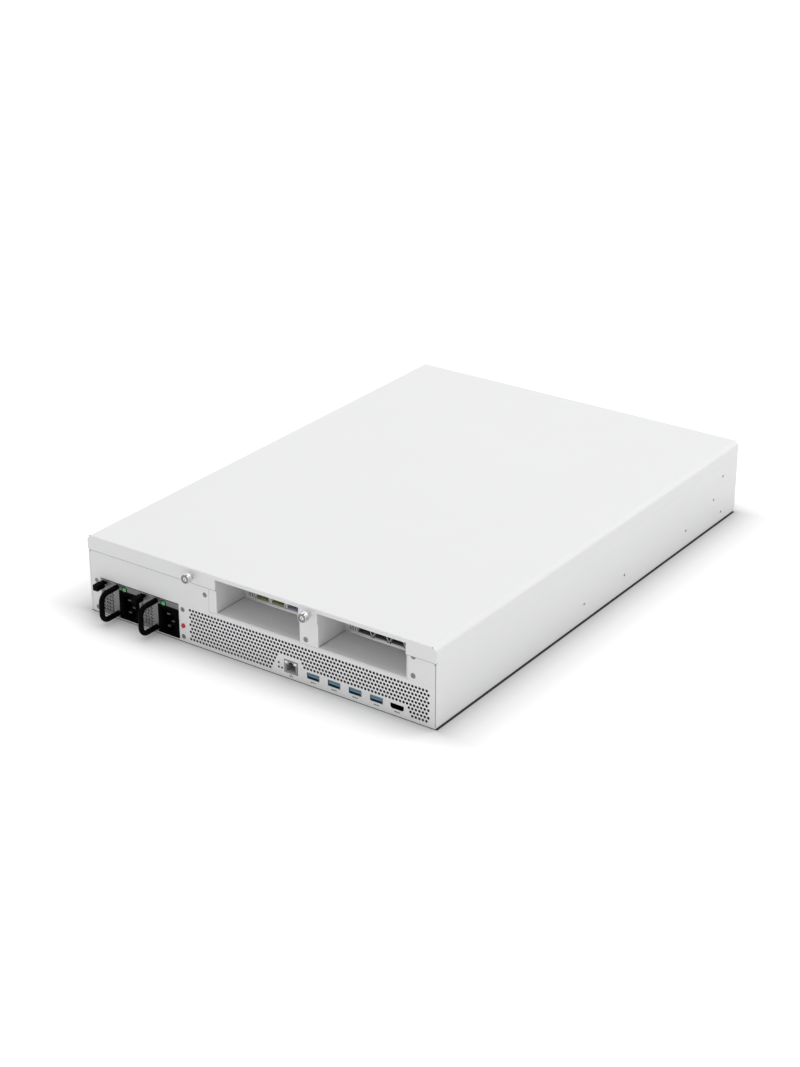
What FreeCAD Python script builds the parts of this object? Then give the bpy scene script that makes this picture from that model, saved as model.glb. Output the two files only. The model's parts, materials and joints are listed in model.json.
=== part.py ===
import FreeCAD, Part
import Sketcher
import math
import os
from collections import namedtuple
from types import SimpleNamespace

# Two-unit rack server, seen from behind as it stands on a bench.
# Frame: origin at the centre of the chassis floor's underside, +X to the right when facing the
# rear panel, +Y from the rear panel towards the drive bays, +Z up. Millimetres.

# Driving sizes
SIZES = {
    # Folded steel enclosure
    "chassis_width": 440.0,
    "chassis_height": 88.0,
    "chassis_depth": 615.0,
    "sheet_gauge": 1.2,
    "slip": 0.3,
    "seam": 0.2,
    "bend_radius": 2.4,
    "panel_drop": 3.5,
    # Sliding cover
    "cover_bevel": 4.2,
    "cover_round": 1.6,
    "cover_flange": 16.3,
    "cover_notch": 6.0,
    # Holes in the side walls for rack ears and slide rails
    "side_hole": 3.4,
    "ear_hole_inset": 34.5,
    "ear_hole_low": 12.0,
    "ear_hole_high": 56.5,
    "ear_middle_inset": 54.5,
    "ear_middle_height": 34.2,
    "rail_hole_height": 20.4,
    "rail_hole_front": 188.0,
    "rail_hole_middle": 50.5,
    "rail_hole_back": -33.5,
    # Captive thumbscrews of the cover
    "thumb_left_side": 9.5,
    "thumb_right_side": 157.5,
    "thumb_drop": 8.0,
    "knob_diameter": 10.5,
    "knob_length": 7.6,
    "knob_chamfer": 0.8,
    "knob_slot": 1.2,
    "ferrule_diameter": 7.4,
    "ferrule_length": 2.6,
    "shank_diameter": 4.0,
    # Power supply bay
    "psu_bay_inset": 14.3,
    "psu_width": 53.0,
    "psu_height": 39.1,
    "psu_length": 200.0,
    "psu_wall": 1.0,
    "psu_plenum": 44.0,
    "psu_board_gap": 0.3,
    "board_gauge": 1.6,
    # Power supply face: mesh, inlet, lamp, latch and handle
    "mesh_hole": 2.9,
    "mesh_pitch": 4.0,
    "mesh_side": 3.0,
    "mesh_bottom": 4.0,
    "inlet_width": 26.0,
    "inlet_height": 28.5,
    "inlet_depth": 21.0,
    "inlet_proud": 0.8,
    "inlet_margin": 1.0,
    "inlet_bottom": 1.6,
    "socket_width": 16.8,
    "socket_height": 24.2,
    "socket_depth": 17.0,
    "socket_corner": 5.0,
    "pin_thick": 2.0,
    "pin_wide": 4.0,
    "pin_length": 14.0,
    "pin_spread": 7.0,
    "pin_offset": 2.0,
    "lamp_diameter": 5.0,
    "lamp_side": 6.0,
    "lamp_drop": 4.6,
    "lamp_length": 6.0,
    "handle_bar": 5.8,
    "handle_side": 3.9,
    "handle_low": 4.8,
    "handle_high": 35.2,
    "handle_reach": 24.5,
    "handle_corner": 9.0,
    "latch_thick": 1.8,
    "latch_side": 2.2,
    "latch_low": 31.0,
    "latch_high": 37.0,
    "latch_reach": 13.5,
    "latch_pivot": 8.0,
    "latch_barrel": 4.0,
    "latch_swing": 2.6,
    # Small axial fan in each power supply
    "psu_fan_hub": 13.0,
    "psu_fan_tip": 33.0,
    "psu_fan_length": 11.0,
    "psu_motor_length": 4.0,
    # Perforated input and output panel; its places along X are measured from its left edge
    "panel_split": 10.8,
    "vent_hole": 2.6,
    "vent_pitch": 4.117,
    "vent_row": 4.13,
    "vent_side": 4.2,
    "vent_end": 3.4,
    "vent_low": 5.54,
    "vent_gap_left": 107.1,
    "vent_gap_right": 280.0,
    "vent_gap_lan": 148.2,
    "status_hole": 1.5,
    "status_side": 118.1,
    "status_height": 14.2,
    "status_drop": 5.0,
    "status_step": 4.0,
    # Recessed card bays
    "bay_side": 40.0,
    "bay_width": 105.2,
    "bay_spacing": 128.0,
    "bay_floor": 45.7,
    "bay_depth": 45.0,
    "bay_flange": 10.0,
    # Expansion cards and their port cages
    "card_bottom": 47.0,
    "card_length": 150.0,
    "card_margin": 3.0,
    "cage_width": 17.6,
    "cage_height": 10.0,
    "cage_length": 48.0,
    "cage_wall": 0.8,
    "cage_proud": 2.0,
    "cage_pitch": 20.0,
    "cage_shift": 2.0,
    # Riser boards that carry the cards
    "riser_gap": 11.6,
    "riser_back": 18.0,
    "riser_length": 100.0,
    "riser_top": 60.0,
    "riser_socket": 8.0,
    "riser_socket_height": 11.0,
    "riser_grip": 7.0,
    # Cooler on each card
    "card_cooler_width": 44.0,
    "card_cooler_length": 52.0,
    "card_cooler_base": 3.0,
    "card_cooler_height": 12.0,
    "card_cooler_gap": 9.0,
    "card_fin": 1.2,
    "card_fin_pitch": 4.75,
    # Motherboard and what stands on it
    "mainboard_side": 2.0,
    "mainboard_width": 298.0,
    "mainboard_depth": 330.0,
    "mainboard_inset": 3.5,
    "standoff_height": 3.2,
    "standoff_width": 6.0,
    "standoff_edge": 12.0,
    "lan_side": 133.4,
    "lan_width": 16.6,
    "lan_height": 14.0,
    "lan_depth": 21.0,
    "lan_hole_width": 11.8,
    "lan_hole_height": 8.0,
    "lan_hole_depth": 13.0,
    "lan_hole_rise": 2.0,
    "port_proud": 0.4,
    "usb_side": 161.0,
    "usb_pitch": 25.6,
    "usb_width": 14.6,
    "usb_height": 6.2,
    "usb_rise": 1.4,
    "usb_depth": 14.0,
    "usb_shell": 0.6,
    "usb_tongue": 1.9,
    "hdmi_side": 262.2,
    "hdmi_width": 15.0,
    "hdmi_height": 5.0,
    "hdmi_rise": 1.4,
    "hdmi_depth": 11.0,
    "hdmi_taper": 1.6,
    # Processor and cooler
    "processor_side": 150.0,
    "processor_inset": 74.0,
    "processor_frame": 78.0,
    "processor_frame_height": 5.0,
    "processor_lid": 58.0,
    "processor_lid_height": 2.5,
    "cooler_width": 80.0,
    "cooler_length": 86.0,
    "cooler_base": 5.0,
    "cooler_height": 62.0,
    "fin_gauge": 1.0,
    "fin_pitch": 4.0,
    # Memory
    "memory_offset": 52.0,
    "memory_pitch": 9.6,
    "memory_socket_length": 142.0,
    "memory_socket_width": 6.4,
    "memory_socket_height": 7.0,
    "memory_length": 133.3,
    "memory_height": 31.2,
    "memory_gauge": 1.3,
    "memory_chip": 3.4,
    "memory_seat": 4.0,
    # System fans
    "fan_wall_y": 66.0,
    "fan_size": 80.0,
    "fan_depth": 38.0,
    "fan_bore": 76.0,
    "fan_pitch": 134.0,
    "fan_hub": 34.0,
    "fan_tip": 74.0,
    "fan_strut": 5.0,
    "fan_base": 4.0,
    # Drive bays
    "drive_pitch": 108.0,
    "drive_bay_height": 30.8,
    "drive_width": 101.6,
    "drive_height": 26.1,
    "drive_length": 147.0,
    "carrier_floor": 1.2,
    "carrier_bezel": 3.8,
    "carrier_tail": 4.0,
    "plug_width": 42.0,
    "plug_height": 8.0,
    "plug_depth": 6.7,
    "lever_thick": 3.4,
    "lever_length": 78.0,
    "lever_low": 7.0,
    "lever_high": 25.0,
    "lever_pin": 2.1,
    "lever_edge": 5.0,
    # Front frame, grille and power button
    "front_rail": 4.0,
    "front_lip": 2.6,
    "control_width": 28.0,
    "grille_slot": 6.4,
    "grille_pitch": 9.6,
    "grille_border": 4.0,
    "button_diameter": 10.0,
    "button_height": 60.0,
    "button_rim": 1.5,
    "button_proud": 1.5,
    # Alarm button and flush screws of the rear panel
    "alarm_side": 5.4,
    "alarm_z": 18.1,
    "alarm_diameter": 5.5,
    "alarm_rim": 0.9,
    "screw_diameter": 5.4,
    "screw_length": 5.0,
    "screw_edge": 7.5,
    "screw_strip": 5.0,
    "screw_low": 5.5,
    "screw_high": 36.6,
    "screw_bay_side": 5.2,
    "screw_bay_height": 62.0,
    "screw_corner_side": 6.4,
    "screw_corner_low": 50.0,
    "screw_corner_high": 70.7,
}

# How many of each repeated piece there are
VENT_ROWS = 9
VENT_PORT_ROWS = 3
VENT_LAN_ROWS = 5
MESH_COLUMNS = 4
MESH_ROWS = 6
CAGE_COUNT = 4
USB_COUNT = 4
MEMORY_PER_SIDE = 4
FAN_COUNT = 3
FAN_BLADES = 7
PSU_FAN_BLADES = 5
DRIVE_COUNT = 4
SCREW_SIDES = 8
STANDOFF_SIDES = 6
STANDOFF_GRID = 3
HANDLE_SIDES = 12

# Ratio of a folded sheet's inner to outer corner shift at a 45 degree bend
MITRE = 0.41421356
DIAGONAL = 1.41421356

# Half the diagonal of a square with the area of a circle one across
SQUARE_HALF = math.sqrt(math.pi / 8)

# Place of the screw between the bays, as a share of the room it has left of the middle
BAY_SCREW_SHARE = 0.53

# Fan blades as shares of the rotor's length: how far they lean, how thick they are, where they start
# and end; and the part of the hub's diameter that their roots reach in to
BLADE_LEAN = 0.36
BLADE_THICK = 0.07
BLADE_START = 0.08
BLADE_END = 0.92
BLADE_ROOT = 0.3

doc = FreeCAD.newDocument("RackServer")
sheet = doc.addObject("Spreadsheet::Sheet", "Sizes")
nodes = []
pockets = []

Round = namedtuple("Round", "u v diameter")


# Sizes that carry their spreadsheet expression

def number_of(value):
    return value.value if isinstance(value, Size) else float(value)


def text_of(value):
    return value.text if isinstance(value, Size) else repr(float(value))


class Size:
    """A length with the spreadsheet expression it comes from, so both stay together in sums."""

    def __init__(self, text, value):
        self.text = text
        self.value = value

    def __add__(self, other):
        return Size("(%s + %s)" % (self.text, text_of(other)), self.value + number_of(other))

    def __radd__(self, other):
        return self + other

    def __neg__(self):
        return Size("(-1 * %s)" % self.text, -self.value)

    def __sub__(self, other):
        return Size("(%s - %s)" % (self.text, text_of(other)), self.value - number_of(other))

    def __rsub__(self, other):
        return Size("(%s - %s)" % (text_of(other), self.text), number_of(other) - self.value)

    def __mul__(self, other):
        return Size("(%s * %s)" % (self.text, text_of(other)), self.value * number_of(other))

    def __rmul__(self, other):
        return self * other

    def __truediv__(self, other):
        return Size("(%s / %s)" % (self.text, text_of(other)), self.value / number_of(other))


def root(value):
    return Size("sqrt(%s)" % value.text, value.value ** 0.5)


def fill_sheet():
    sizes = SimpleNamespace()
    for row, (name, value) in enumerate(SIZES.items(), start=1):
        sheet.set("A%d" % row, name)
        sheet.set("B%d" % row, str(value))
        sheet.setAlias("B%d" % row, name)
        setattr(sizes, name, Size("Sizes." + name, value))
    doc.recompute()
    return sizes


s = fill_sheet()


def bind(thing, path, value):
    thing.setExpression(path, text_of(value))


# Sketches and features

PLANES = {"x": ("YZ_Plane", 1), "y": ("XZ_Plane", -1), "z": ("XY_Plane", 1)}


def new_body(label):
    return keep(doc.addObject("PartDesign::Body", label), label)


def keep(thing, label):
    """Mark an object as a finished sub-part under its own label."""
    thing.Label = label
    nodes.append(thing)
    return thing


def origin_feature(body, role):
    return next(feature for feature in body.Origin.OriginFeatures if feature.Role == role)


def rect(u, v):
    return [(u[0], v[0]), (u[1], v[0]), (u[1], v[1]), (u[0], v[1])]


def ring_of(u, v, radius, sides):
    """A regular outline round a place, its first corner towards +U."""
    turns = [2 * math.pi * i / sides for i in range(sides)]
    return [(u + radius * math.cos(a), v + radius * math.sin(a)) for a in turns]


def both_sides(points):
    """A closed outline from its right-hand half, mirrored about the middle."""
    return points + [(-u, v) for u, v in reversed(points)]


def span(middle, width):
    return (middle - width / 2, middle + width / 2)


def pin_point(sketch, geometry, end, u, v):
    for kind, value in (("DistanceX", u), ("DistanceY", v)):
        index = sketch.addConstraint(Sketcher.Constraint(kind, geometry, end, number_of(value)))
        bind(sketch, "Constraints[%d]" % index, value)


def add_polygon(sketch, points):
    first = sketch.GeometryCount
    count = len(points)
    corners = [FreeCAD.Vector(number_of(u), number_of(v), 0) for u, v in points]
    sides = [Part.LineSegment(corners[i], corners[(i + 1) % count]) for i in range(count)]
    sketch.addGeometry(sides, False)
    joins = [Sketcher.Constraint("Coincident", first + i, 2, first + (i + 1) % count, 1)
             for i in range(count)]
    sketch.addConstraint(joins)
    for i, (u, v) in enumerate(points):
        pin_point(sketch, first + i, 1, u, v)


def add_circle(sketch, hole):
    index = sketch.GeometryCount
    centre = FreeCAD.Vector(number_of(hole.u), number_of(hole.v), 0)
    radius = number_of(hole.diameter) / 2
    sketch.addGeometry(Part.Circle(centre, FreeCAD.Vector(0, 0, 1), radius), False)
    pin_point(sketch, index, 3, hole.u, hole.v)
    size = sketch.addConstraint(Sketcher.Constraint("Diameter", index, 2 * radius))
    bind(sketch, "Constraints[%d]" % size, hole.diameter)


def new_sketch(body, role, loops, offset=0.0):
    sketch = body.newObject("Sketcher::SketchObject", "Outline")
    sketch.AttachmentSupport = (origin_feature(body, role), [""])
    sketch.MapMode = "FlatFace"
    bind(sketch, "AttachmentOffset.Base.z", offset)
    for loop in loops:
        if isinstance(loop, Round):
            add_circle(sketch, loop)
        else:
            add_polygon(sketch, loop)
    return sketch


def extrude(body, axis, loops, reach, cut=False):
    """Pad or pocket the loops between two places along an axis of the part's frame."""
    role, sense = PLANES[axis]
    low, high = reach
    start = low if (sense > 0) != cut else high
    sketch = new_sketch(body, role, loops, start * sense)
    base = body.Tip
    feature = body.newObject("PartDesign::Pocket" if cut else "PartDesign::Pad", "Cut" if cut else "Sheet")
    feature.Profile = sketch
    bind(feature, "Length", high - low)
    if cut:
        pockets.append((base, feature))
    return feature


def revolve(body, axis, outline):
    """Turn an outline in the YZ plane about an axis of the body's own frame."""
    feature = body.newObject("PartDesign::Revolution", "Turned")
    feature.Profile = new_sketch(body, "YZ_Plane", [outline])
    feature.ReferenceAxis = (origin_feature(body, axis), [""])
    feature.Angle = 360.0
    return feature


def repeat_along(body, feature, axis, pitch, count):
    pattern = body.newObject("PartDesign::LinearPattern", "Row")
    pattern.Originals = [feature]
    pattern.Direction = (origin_feature(body, axis), [""])
    bind(pattern, "Length", pitch * (count - 1))
    pattern.Occurrences = count
    body.Tip = pattern
    return pattern


def repeat_around(body, feature, axis, count):
    pattern = body.newObject("PartDesign::PolarPattern", "Ring")
    pattern.Originals = [feature]
    pattern.Axis = (origin_feature(body, axis), [""])
    pattern.Angle = 360.0
    pattern.Occurrences = count
    body.Tip = pattern
    return pattern


def round_long_edges(body, corners, radius):
    """Fillet the edges along Y that pass through the given X and Z places."""
    doc.recompute()
    base = body.Tip
    wanted = [(number_of(x), number_of(z)) for x, z in corners]
    names = []
    for index, edge in enumerate(base.Shape.Edges, start=1):
        ends = [vertex.Point for vertex in edge.Vertexes]
        for x, z in wanted:
            if all(abs(p.x - x) < 0.01 and abs(p.z - z) < 0.01 for p in ends):
                names.append("Edge%d" % index)
    fillet = body.newObject("PartDesign::Fillet", "Bend")
    fillet.Base = (base, names)
    bind(fillet, "Radius", radius)


# Plain solids

def place(thing, x, y, z):
    bind(thing, "Placement.Base.x", x)
    bind(thing, "Placement.Base.y", y)
    bind(thing, "Placement.Base.z", z)


def block(name, x, y, z):
    box = doc.addObject("Part::Box", name)
    bind(box, "Length", x[1] - x[0])
    bind(box, "Width", y[1] - y[0])
    bind(box, "Height", z[1] - z[0])
    place(box, x[0], y[0], z[0])
    return box


def prism(name, sides, width, height):
    """An upright prism with a regular outline, its flats a given width apart on even counts."""
    solid = doc.addObject("Part::Prism", name)
    solid.Polygon = sides
    bind(solid, "Circumradius", width / 2)
    bind(solid, "Height", height)
    return solid


def cut_from(name, base, tools):
    gathered = doc.addObject("Part::Compound", name + "_tools")
    gathered.Links = tools
    cut = doc.addObject("Part::Cut", name)
    cut.Base = base
    cut.Tool = gathered
    return cut


def fused(name, members):
    fuse = doc.addObject("Part::MultiFuse", name)
    fuse.Shapes = members
    return fuse


def grouped(label, members):
    group = doc.addObject("Part::Compound", label)
    group.Links = members
    return keep(group, label)


# Places shared by several pieces

gauge = s.sheet_gauge
half_width = s.chassis_width / 2
rear = -s.chassis_depth / 2
front = s.chassis_depth / 2
behind_panel = rear + gauge
behind_front = front - gauge
floor_side = half_width - gauge
seam_height = s.chassis_height - s.cover_flange
wall_outer = half_width - gauge - s.slip
wall_inner = wall_outer - gauge
joggle_high = seam_height - s.slip
joggle_low = joggle_high - gauge - s.slip
wall_top = s.chassis_height - s.cover_bevel - DIAGONAL * gauge + gauge
panel_low_side = floor_side - s.slip
panel_high_side = wall_inner - s.slip
panel_step = joggle_low - gauge
panel_top = s.chassis_height - s.panel_drop

psu_bay_left = s.psu_bay_inset - half_width
psu_bay_right = psu_bay_left + 2 * s.psu_width + 3 * s.slip
psu_bottom = gauge + s.slip
psu_bay_top = psu_bottom + s.psu_height + s.slip
psu_back = rear + s.psu_length
split = psu_bay_right + s.panel_split
alarm_x = psu_bay_right + s.alarm_side
thumb_left = split + s.thumb_left_side
thumb_right = split + s.thumb_right_side
lan_x = split + s.lan_side
usb_x = split + s.usb_side
hdmi_x = split + s.hdmi_side

bay_under = s.bay_floor - gauge
bay_back = rear + s.bay_depth
bay_tail = bay_back + gauge
bay_left = split + s.bay_side
bay_starts = (bay_left, bay_left + s.bay_spacing)
bays_left = bay_left - s.bay_flange
bays_right = bay_starts[1] + s.bay_width + gauge
bay_gap = (bay_starts[0] + s.bay_width + gauge, bay_starts[1] - gauge)
bay_gap_middle = (bay_gap[0] + bay_gap[1]) / 2
skirt_front = rear - s.slip
skirt_back = skirt_front - gauge

mainboard_left = split + s.mainboard_side
processor_x = split + s.processor_side
mainboard_low = gauge + s.standoff_height
mainboard_top = mainboard_low + s.board_gauge
mainboard_back = rear + s.mainboard_inset
processor_y = mainboard_back + s.mainboard_depth - s.processor_inset

drive_row = [(i - (DRIVE_COUNT - 1) / 2) * s.drive_pitch for i in range(DRIVE_COUNT)]
drive_bay_top = gauge + s.drive_bay_height
lever_back = front - s.slip - s.lever_thick
bezel_front = lever_back - s.slip
bezel_back = bezel_front - s.carrier_bezel
drive_back = bezel_back - s.drive_length
backplane_front = drive_back - s.slip - s.plug_depth
backplane_back = backplane_front - s.board_gauge


# Folded enclosure

def make_chassis_tray():
    """Floor and side walls from one sheet, the walls set in above the seam to take the cover."""
    body = new_body("chassis_tray")
    lead = MITRE * gauge
    right_half = [
        (half_width, 0.0),
        (half_width, joggle_low),
        (wall_outer, joggle_high),
        (wall_outer, wall_top),
        (wall_inner, wall_top),
        (wall_inner, joggle_high - lead),
        (floor_side, joggle_low - lead),
        (floor_side, gauge),
    ]
    extrude(body, "y", [both_sides(right_half)], (rear, front))
    ear_y = front - s.ear_hole_inset
    holes = [
        Round(ear_y, s.ear_hole_low, s.side_hole),
        Round(ear_y, s.ear_hole_high, s.side_hole),
        Round(front - s.ear_middle_inset, s.ear_middle_height, s.side_hole),
    ]
    for y in (s.rail_hole_front, s.rail_hole_middle, s.rail_hole_back):
        holes.append(Round(y, s.rail_hole_height, s.side_hole))
    extrude(body, "x", holes, (-half_width, half_width), cut=True)
    round_long_edges(body, [(half_width, 0.0), (-half_width, 0.0)], s.bend_radius)


def make_top_cover():
    """Shallow lid with bevelled long edges and a skirt welded into its rear end.

    The skirt is notched over the card bays.
    """
    lid = doc.addObject("PartDesign::Body", "cover_lid")
    skirt = doc.addObject("PartDesign::Body", "cover_skirt")
    top = s.chassis_height
    lead = MITRE * gauge
    bevel_x = half_width - s.cover_bevel
    bevel_z = top - s.cover_bevel
    right_half = [
        (half_width, seam_height),
        (half_width, bevel_z),
        (bevel_x, top),
    ]
    inner_half = [
        (bevel_x - lead, top - gauge),
        (floor_side, bevel_z - lead),
        (floor_side, seam_height),
    ]
    shell = right_half + [(-u, v) for u, v in reversed(right_half)]
    shell += [(-u, v) for u, v in reversed(inner_half)] + inner_half
    extrude(lid, "y", [shell], (skirt_back, front))
    bends = [(half_width, bevel_z), (bevel_x, top)]
    round_long_edges(lid, bends + [(-x, z) for x, z in bends], s.cover_round)
    extrude(skirt, "y", [both_sides(inner_half[::-1])], (skirt_back, skirt_front))
    notch = (seam_height - gauge, top - s.cover_notch)
    notches = [rect((x, x + s.bay_width), notch) for x in bay_starts]
    extrude(skirt, "y", notches, (skirt_back, skirt_front), cut=True)
    bore = s.shank_diameter + 2 * s.slip
    holes = [Round(x, top - s.thumb_drop, bore) for x in (thumb_left, thumb_right)]
    extrude(skirt, "y", holes, (skirt_back, skirt_front), cut=True)
    grouped("top_cover", [lid, skirt])


def screw_places():
    """Flush screws of the rear, under the name of the sheet each one holds."""
    left = -panel_low_side + s.screw_edge
    strip = psu_bay_right + s.screw_strip
    corner = bays_right + s.screw_corner_side
    room = (bay_gap[1] - bay_gap[0] - s.screw_diameter) / 2
    return {
        "psu_panel": [(left, s.screw_low), (left, s.screw_high), (strip, s.screw_low),
                      (strip, s.screw_high), (bays_left - s.screw_bay_side, s.screw_bay_height)],
        "card_bays": [(bay_gap_middle - BAY_SCREW_SHARE * room, s.screw_corner_low)],
        "rear_corner": [(corner, s.screw_corner_low), (corner, s.screw_corner_high)],
    }


def screw_holes(sheet_name):
    """Openings for the screws of one sheet, a seam wider than the screws."""
    radius = s.screw_diameter / 2 + s.seam
    return [ring_of(x, z, radius, SCREW_SIDES) for x, z in screw_places()[sheet_name]]


def make_rear_screws():
    screws = []
    for places in screw_places().values():
        for x, z in places:
            screw = prism("rear_screw", SCREW_SIDES, s.screw_diameter, s.screw_length)
            lying = FreeCAD.Rotation(FreeCAD.Vector(1, 0, 0), -90)
            screw.Placement = FreeCAD.Placement(FreeCAD.Vector(), lying)
            place(screw, x, rear, z)
            screws.append(screw)
    grouped("rear_screws", screws)


def make_psu_panel():
    """Left rear sheet around the power supply bay."""
    body = new_body("psu_panel")
    outline = [
        (-panel_low_side, gauge),
        (psu_bay_left, gauge),
        (psu_bay_left, psu_bay_top),
        (psu_bay_right, psu_bay_top),
        (psu_bay_right, gauge),
        (split, gauge),
        (split, bay_under - s.seam),
        (bays_left - s.seam, bay_under - s.seam),
        (bays_left - s.seam, panel_top),
        (-panel_high_side, panel_top),
        (-panel_high_side, panel_step),
        (-panel_low_side, panel_step),
    ]
    button = Round(alarm_x, s.alarm_z, s.alarm_diameter + 2 * s.slip)
    extrude(body, "y", [outline, button] + screw_holes("psu_panel"), (rear, behind_panel))


def make_rear_corner():
    """Right rear corner of the panel, beside the card bays."""
    body = new_body("rear_corner")
    outline = [
        (bays_right + s.seam, bay_under - s.seam),
        (panel_low_side, bay_under - s.seam),
        (panel_low_side, panel_step),
        (panel_high_side, panel_step),
        (panel_high_side, panel_top),
        (bays_right + s.seam, panel_top),
    ]
    extrude(body, "y", [outline] + screw_holes("rear_corner"), (rear, behind_panel))


def port_cutouts():
    """Openings for the connectors, each a slip wider than its connector all round."""
    slip = s.slip
    lan = rect(span(lan_x, s.lan_width + 2 * slip),
               (mainboard_top - slip, mainboard_top + s.lan_height + slip))
    usb_low = mainboard_top + s.usb_rise
    usb = [rect(span(usb_x + i * s.usb_pitch, s.usb_width + 2 * slip),
                (usb_low - slip, usb_low + s.usb_height + slip)) for i in range(USB_COUNT)]
    hdmi_low = mainboard_top + s.hdmi_rise
    hdmi = rect(span(hdmi_x, s.hdmi_width + 2 * slip),
                (hdmi_low - slip, hdmi_low + s.hdmi_height + slip))
    return [lan, hdmi] + usb


def is_vent(x, row):
    """The holes leave a slanted-edged field free around the connectors; x is from the panel's left edge."""
    lean = s.vent_pitch.value / 2
    tolerance = lean / 2
    if row >= VENT_LAN_ROWS:
        return True
    if x < s.vent_gap_left.value + row * lean + tolerance:
        return True
    if row >= VENT_PORT_ROWS:
        return x > s.vent_gap_lan.value + (VENT_LAN_ROWS - 1 - row) * lean - tolerance
    return x > s.vent_gap_right.value - row * lean - tolerance


def status_places():
    """Three small lamp holes beside the network jack."""
    x = split + s.status_side
    low = s.status_height - s.status_drop
    return [(x, s.status_height), (x, low), (x + s.status_step, low)]


def wire_of(points, y):
    corners = [FreeCAD.Vector(number_of(u), y, number_of(v)) for u, v in points]
    return Part.makePolygon(corners + corners[:1])


def hole_wire(points, y):
    """A hole's wire runs the other way round from the outline it is cut from."""
    return wire_of(points[::-1], y)


def make_io_panel():
    """Perforated strip: rows of small holes, alternate rows half a pitch over.

    Hundreds of holes are quickest as inner wires of one face, so the strip is one extruded face.
    Each hole is a square on its corner, with the area of the round hole it stands for.
    """
    y = rear.value
    across = s.vent_hole.value * SQUARE_HALF
    last = panel_low_side.value - s.vent_end.value
    outer = rect((split, panel_low_side), (gauge, bay_under - s.seam))
    wires = [wire_of(outer, y)] + [hole_wire(cutout, y) for cutout in port_cutouts()]
    for row in range(VENT_ROWS):
        z = s.vent_low.value + row * s.vent_row.value
        first = split.value + s.vent_side.value + (row % 2) * s.vent_pitch.value / 2
        for column in range(int((last - first) / s.vent_pitch.value) + 1):
            x = first + column * s.vent_pitch.value
            if is_vent(x - split.value, row):
                diamond = [(x - across, z), (x, z - across), (x + across, z), (x, z + across)]
                wires.append(hole_wire(diamond, y))
    for x, z in status_places():
        wires.append(hole_wire(ring_of(x, z, s.status_hole / 2, SCREW_SIDES), y))
    face = Part.Face(wires)
    panel = doc.addObject("Part::Feature", "io_panel")
    panel.Shape = face.extrude(FreeCAD.Vector(0, gauge.value, 0))
    keep(panel, "io_panel")


def cage_row(start):
    """Centres of the port cages in the bay that starts at the given place."""
    middle = start + s.bay_width / 2 + s.cage_shift
    return [middle + (i - (CAGE_COUNT - 1) / 2) * s.cage_pitch for i in range(CAGE_COUNT)]


card_top = s.card_bottom + s.board_gauge


def make_card_bays():
    """Two recessed boxes for cards, open to the rear, folded from one sheet."""
    body = new_body("card_bays")
    height = (bay_under, panel_top)
    inside = (s.bay_floor, panel_top)
    extrude(body, "y", [rect((bays_left, bays_right), height)], (rear, bay_tail))
    bays = [rect((x, x + s.bay_width), inside) for x in bay_starts]
    extrude(body, "y", bays, (rear, bay_back), cut=True)
    left_wall = bay_starts[0] - gauge
    hollows = [rect((bays_left, left_wall), height), rect(bay_gap, inside)]
    extrude(body, "y", hollows, (behind_panel, bay_tail), cut=True)
    windows = []
    for start in bay_starts:
        for x in cage_row(start):
            wide = s.cage_width + 2 * s.slip
            windows.append(rect(span(x, wide), (card_top, card_top + s.cage_height + s.slip)))
    extrude(body, "y", windows, (bay_back, bay_tail), cut=True)
    extrude(body, "y", screw_holes("card_bays"), (rear, behind_panel), cut=True)


# Cover thumbscrews

def thumb_places():
    return (("left", thumb_left), ("right", thumb_right))


def make_thumbscrews():
    """Captive knobs that turn in ferrules pressed into the cover's skirt."""
    height = s.chassis_height - s.thumb_drop
    shank = s.shank_diameter / 2
    ferrules = []
    for side, x in thumb_places():
        ferrule = doc.addObject("PartDesign::Body", "ferrule_" + side)
        bore = shank + s.slip
        ring = rect((skirt_back - s.ferrule_length, skirt_back), (bore, s.ferrule_diameter / 2))
        revolve(ferrule, "Y_Axis", ring)
        place(ferrule, x, 0.0, height)
        ferrules.append(ferrule)

        knob = new_body("thumbscrew_" + side)
        near = skirt_back - s.ferrule_length - s.slip
        far = near - s.knob_length
        radius = s.knob_diameter / 2
        outline = [
            (skirt_front, 0.0),
            (skirt_front, shank),
            (near, shank),
            (near, radius),
            (far + s.knob_chamfer, radius),
            (far, radius - s.knob_chamfer),
            (far, 0.0),
        ]
        revolve(knob, "Y_Axis", outline)
        slot = rect((-radius, radius), span(0.0, s.knob_slot))
        extrude(knob, "y", [slot], (far, far + s.knob_slot), cut=True)
        place(knob, x, 0.0, height)
    grouped("thumbscrew_ferrules", ferrules)


# Power supplies

def psu_left_edge(index):
    return psu_bay_left + s.slip + index * (s.psu_width + s.slip)


def make_psu_cage():
    """Folded guide around both power supplies, with the board they plug into."""
    body = new_body("psu_cage")
    left = psu_bay_left - gauge
    right = psu_bay_right + gauge
    outline = [
        (left, gauge),
        (left, psu_bay_top + gauge),
        (right, psu_bay_top + gauge),
        (right, gauge),
        (psu_bay_right, gauge),
        (psu_bay_right, psu_bay_top),
        (psu_bay_left, psu_bay_top),
        (psu_bay_left, gauge),
    ]
    board_front = psu_back + s.psu_board_gap
    board_back = board_front + s.board_gauge
    extrude(body, "y", [outline], (behind_panel, board_back))
    board = new_body("power_board")
    extrude(board, "y", [rect((psu_bay_left, psu_bay_right), (gauge, psu_bay_top))],
            (board_front, board_back))


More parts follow.
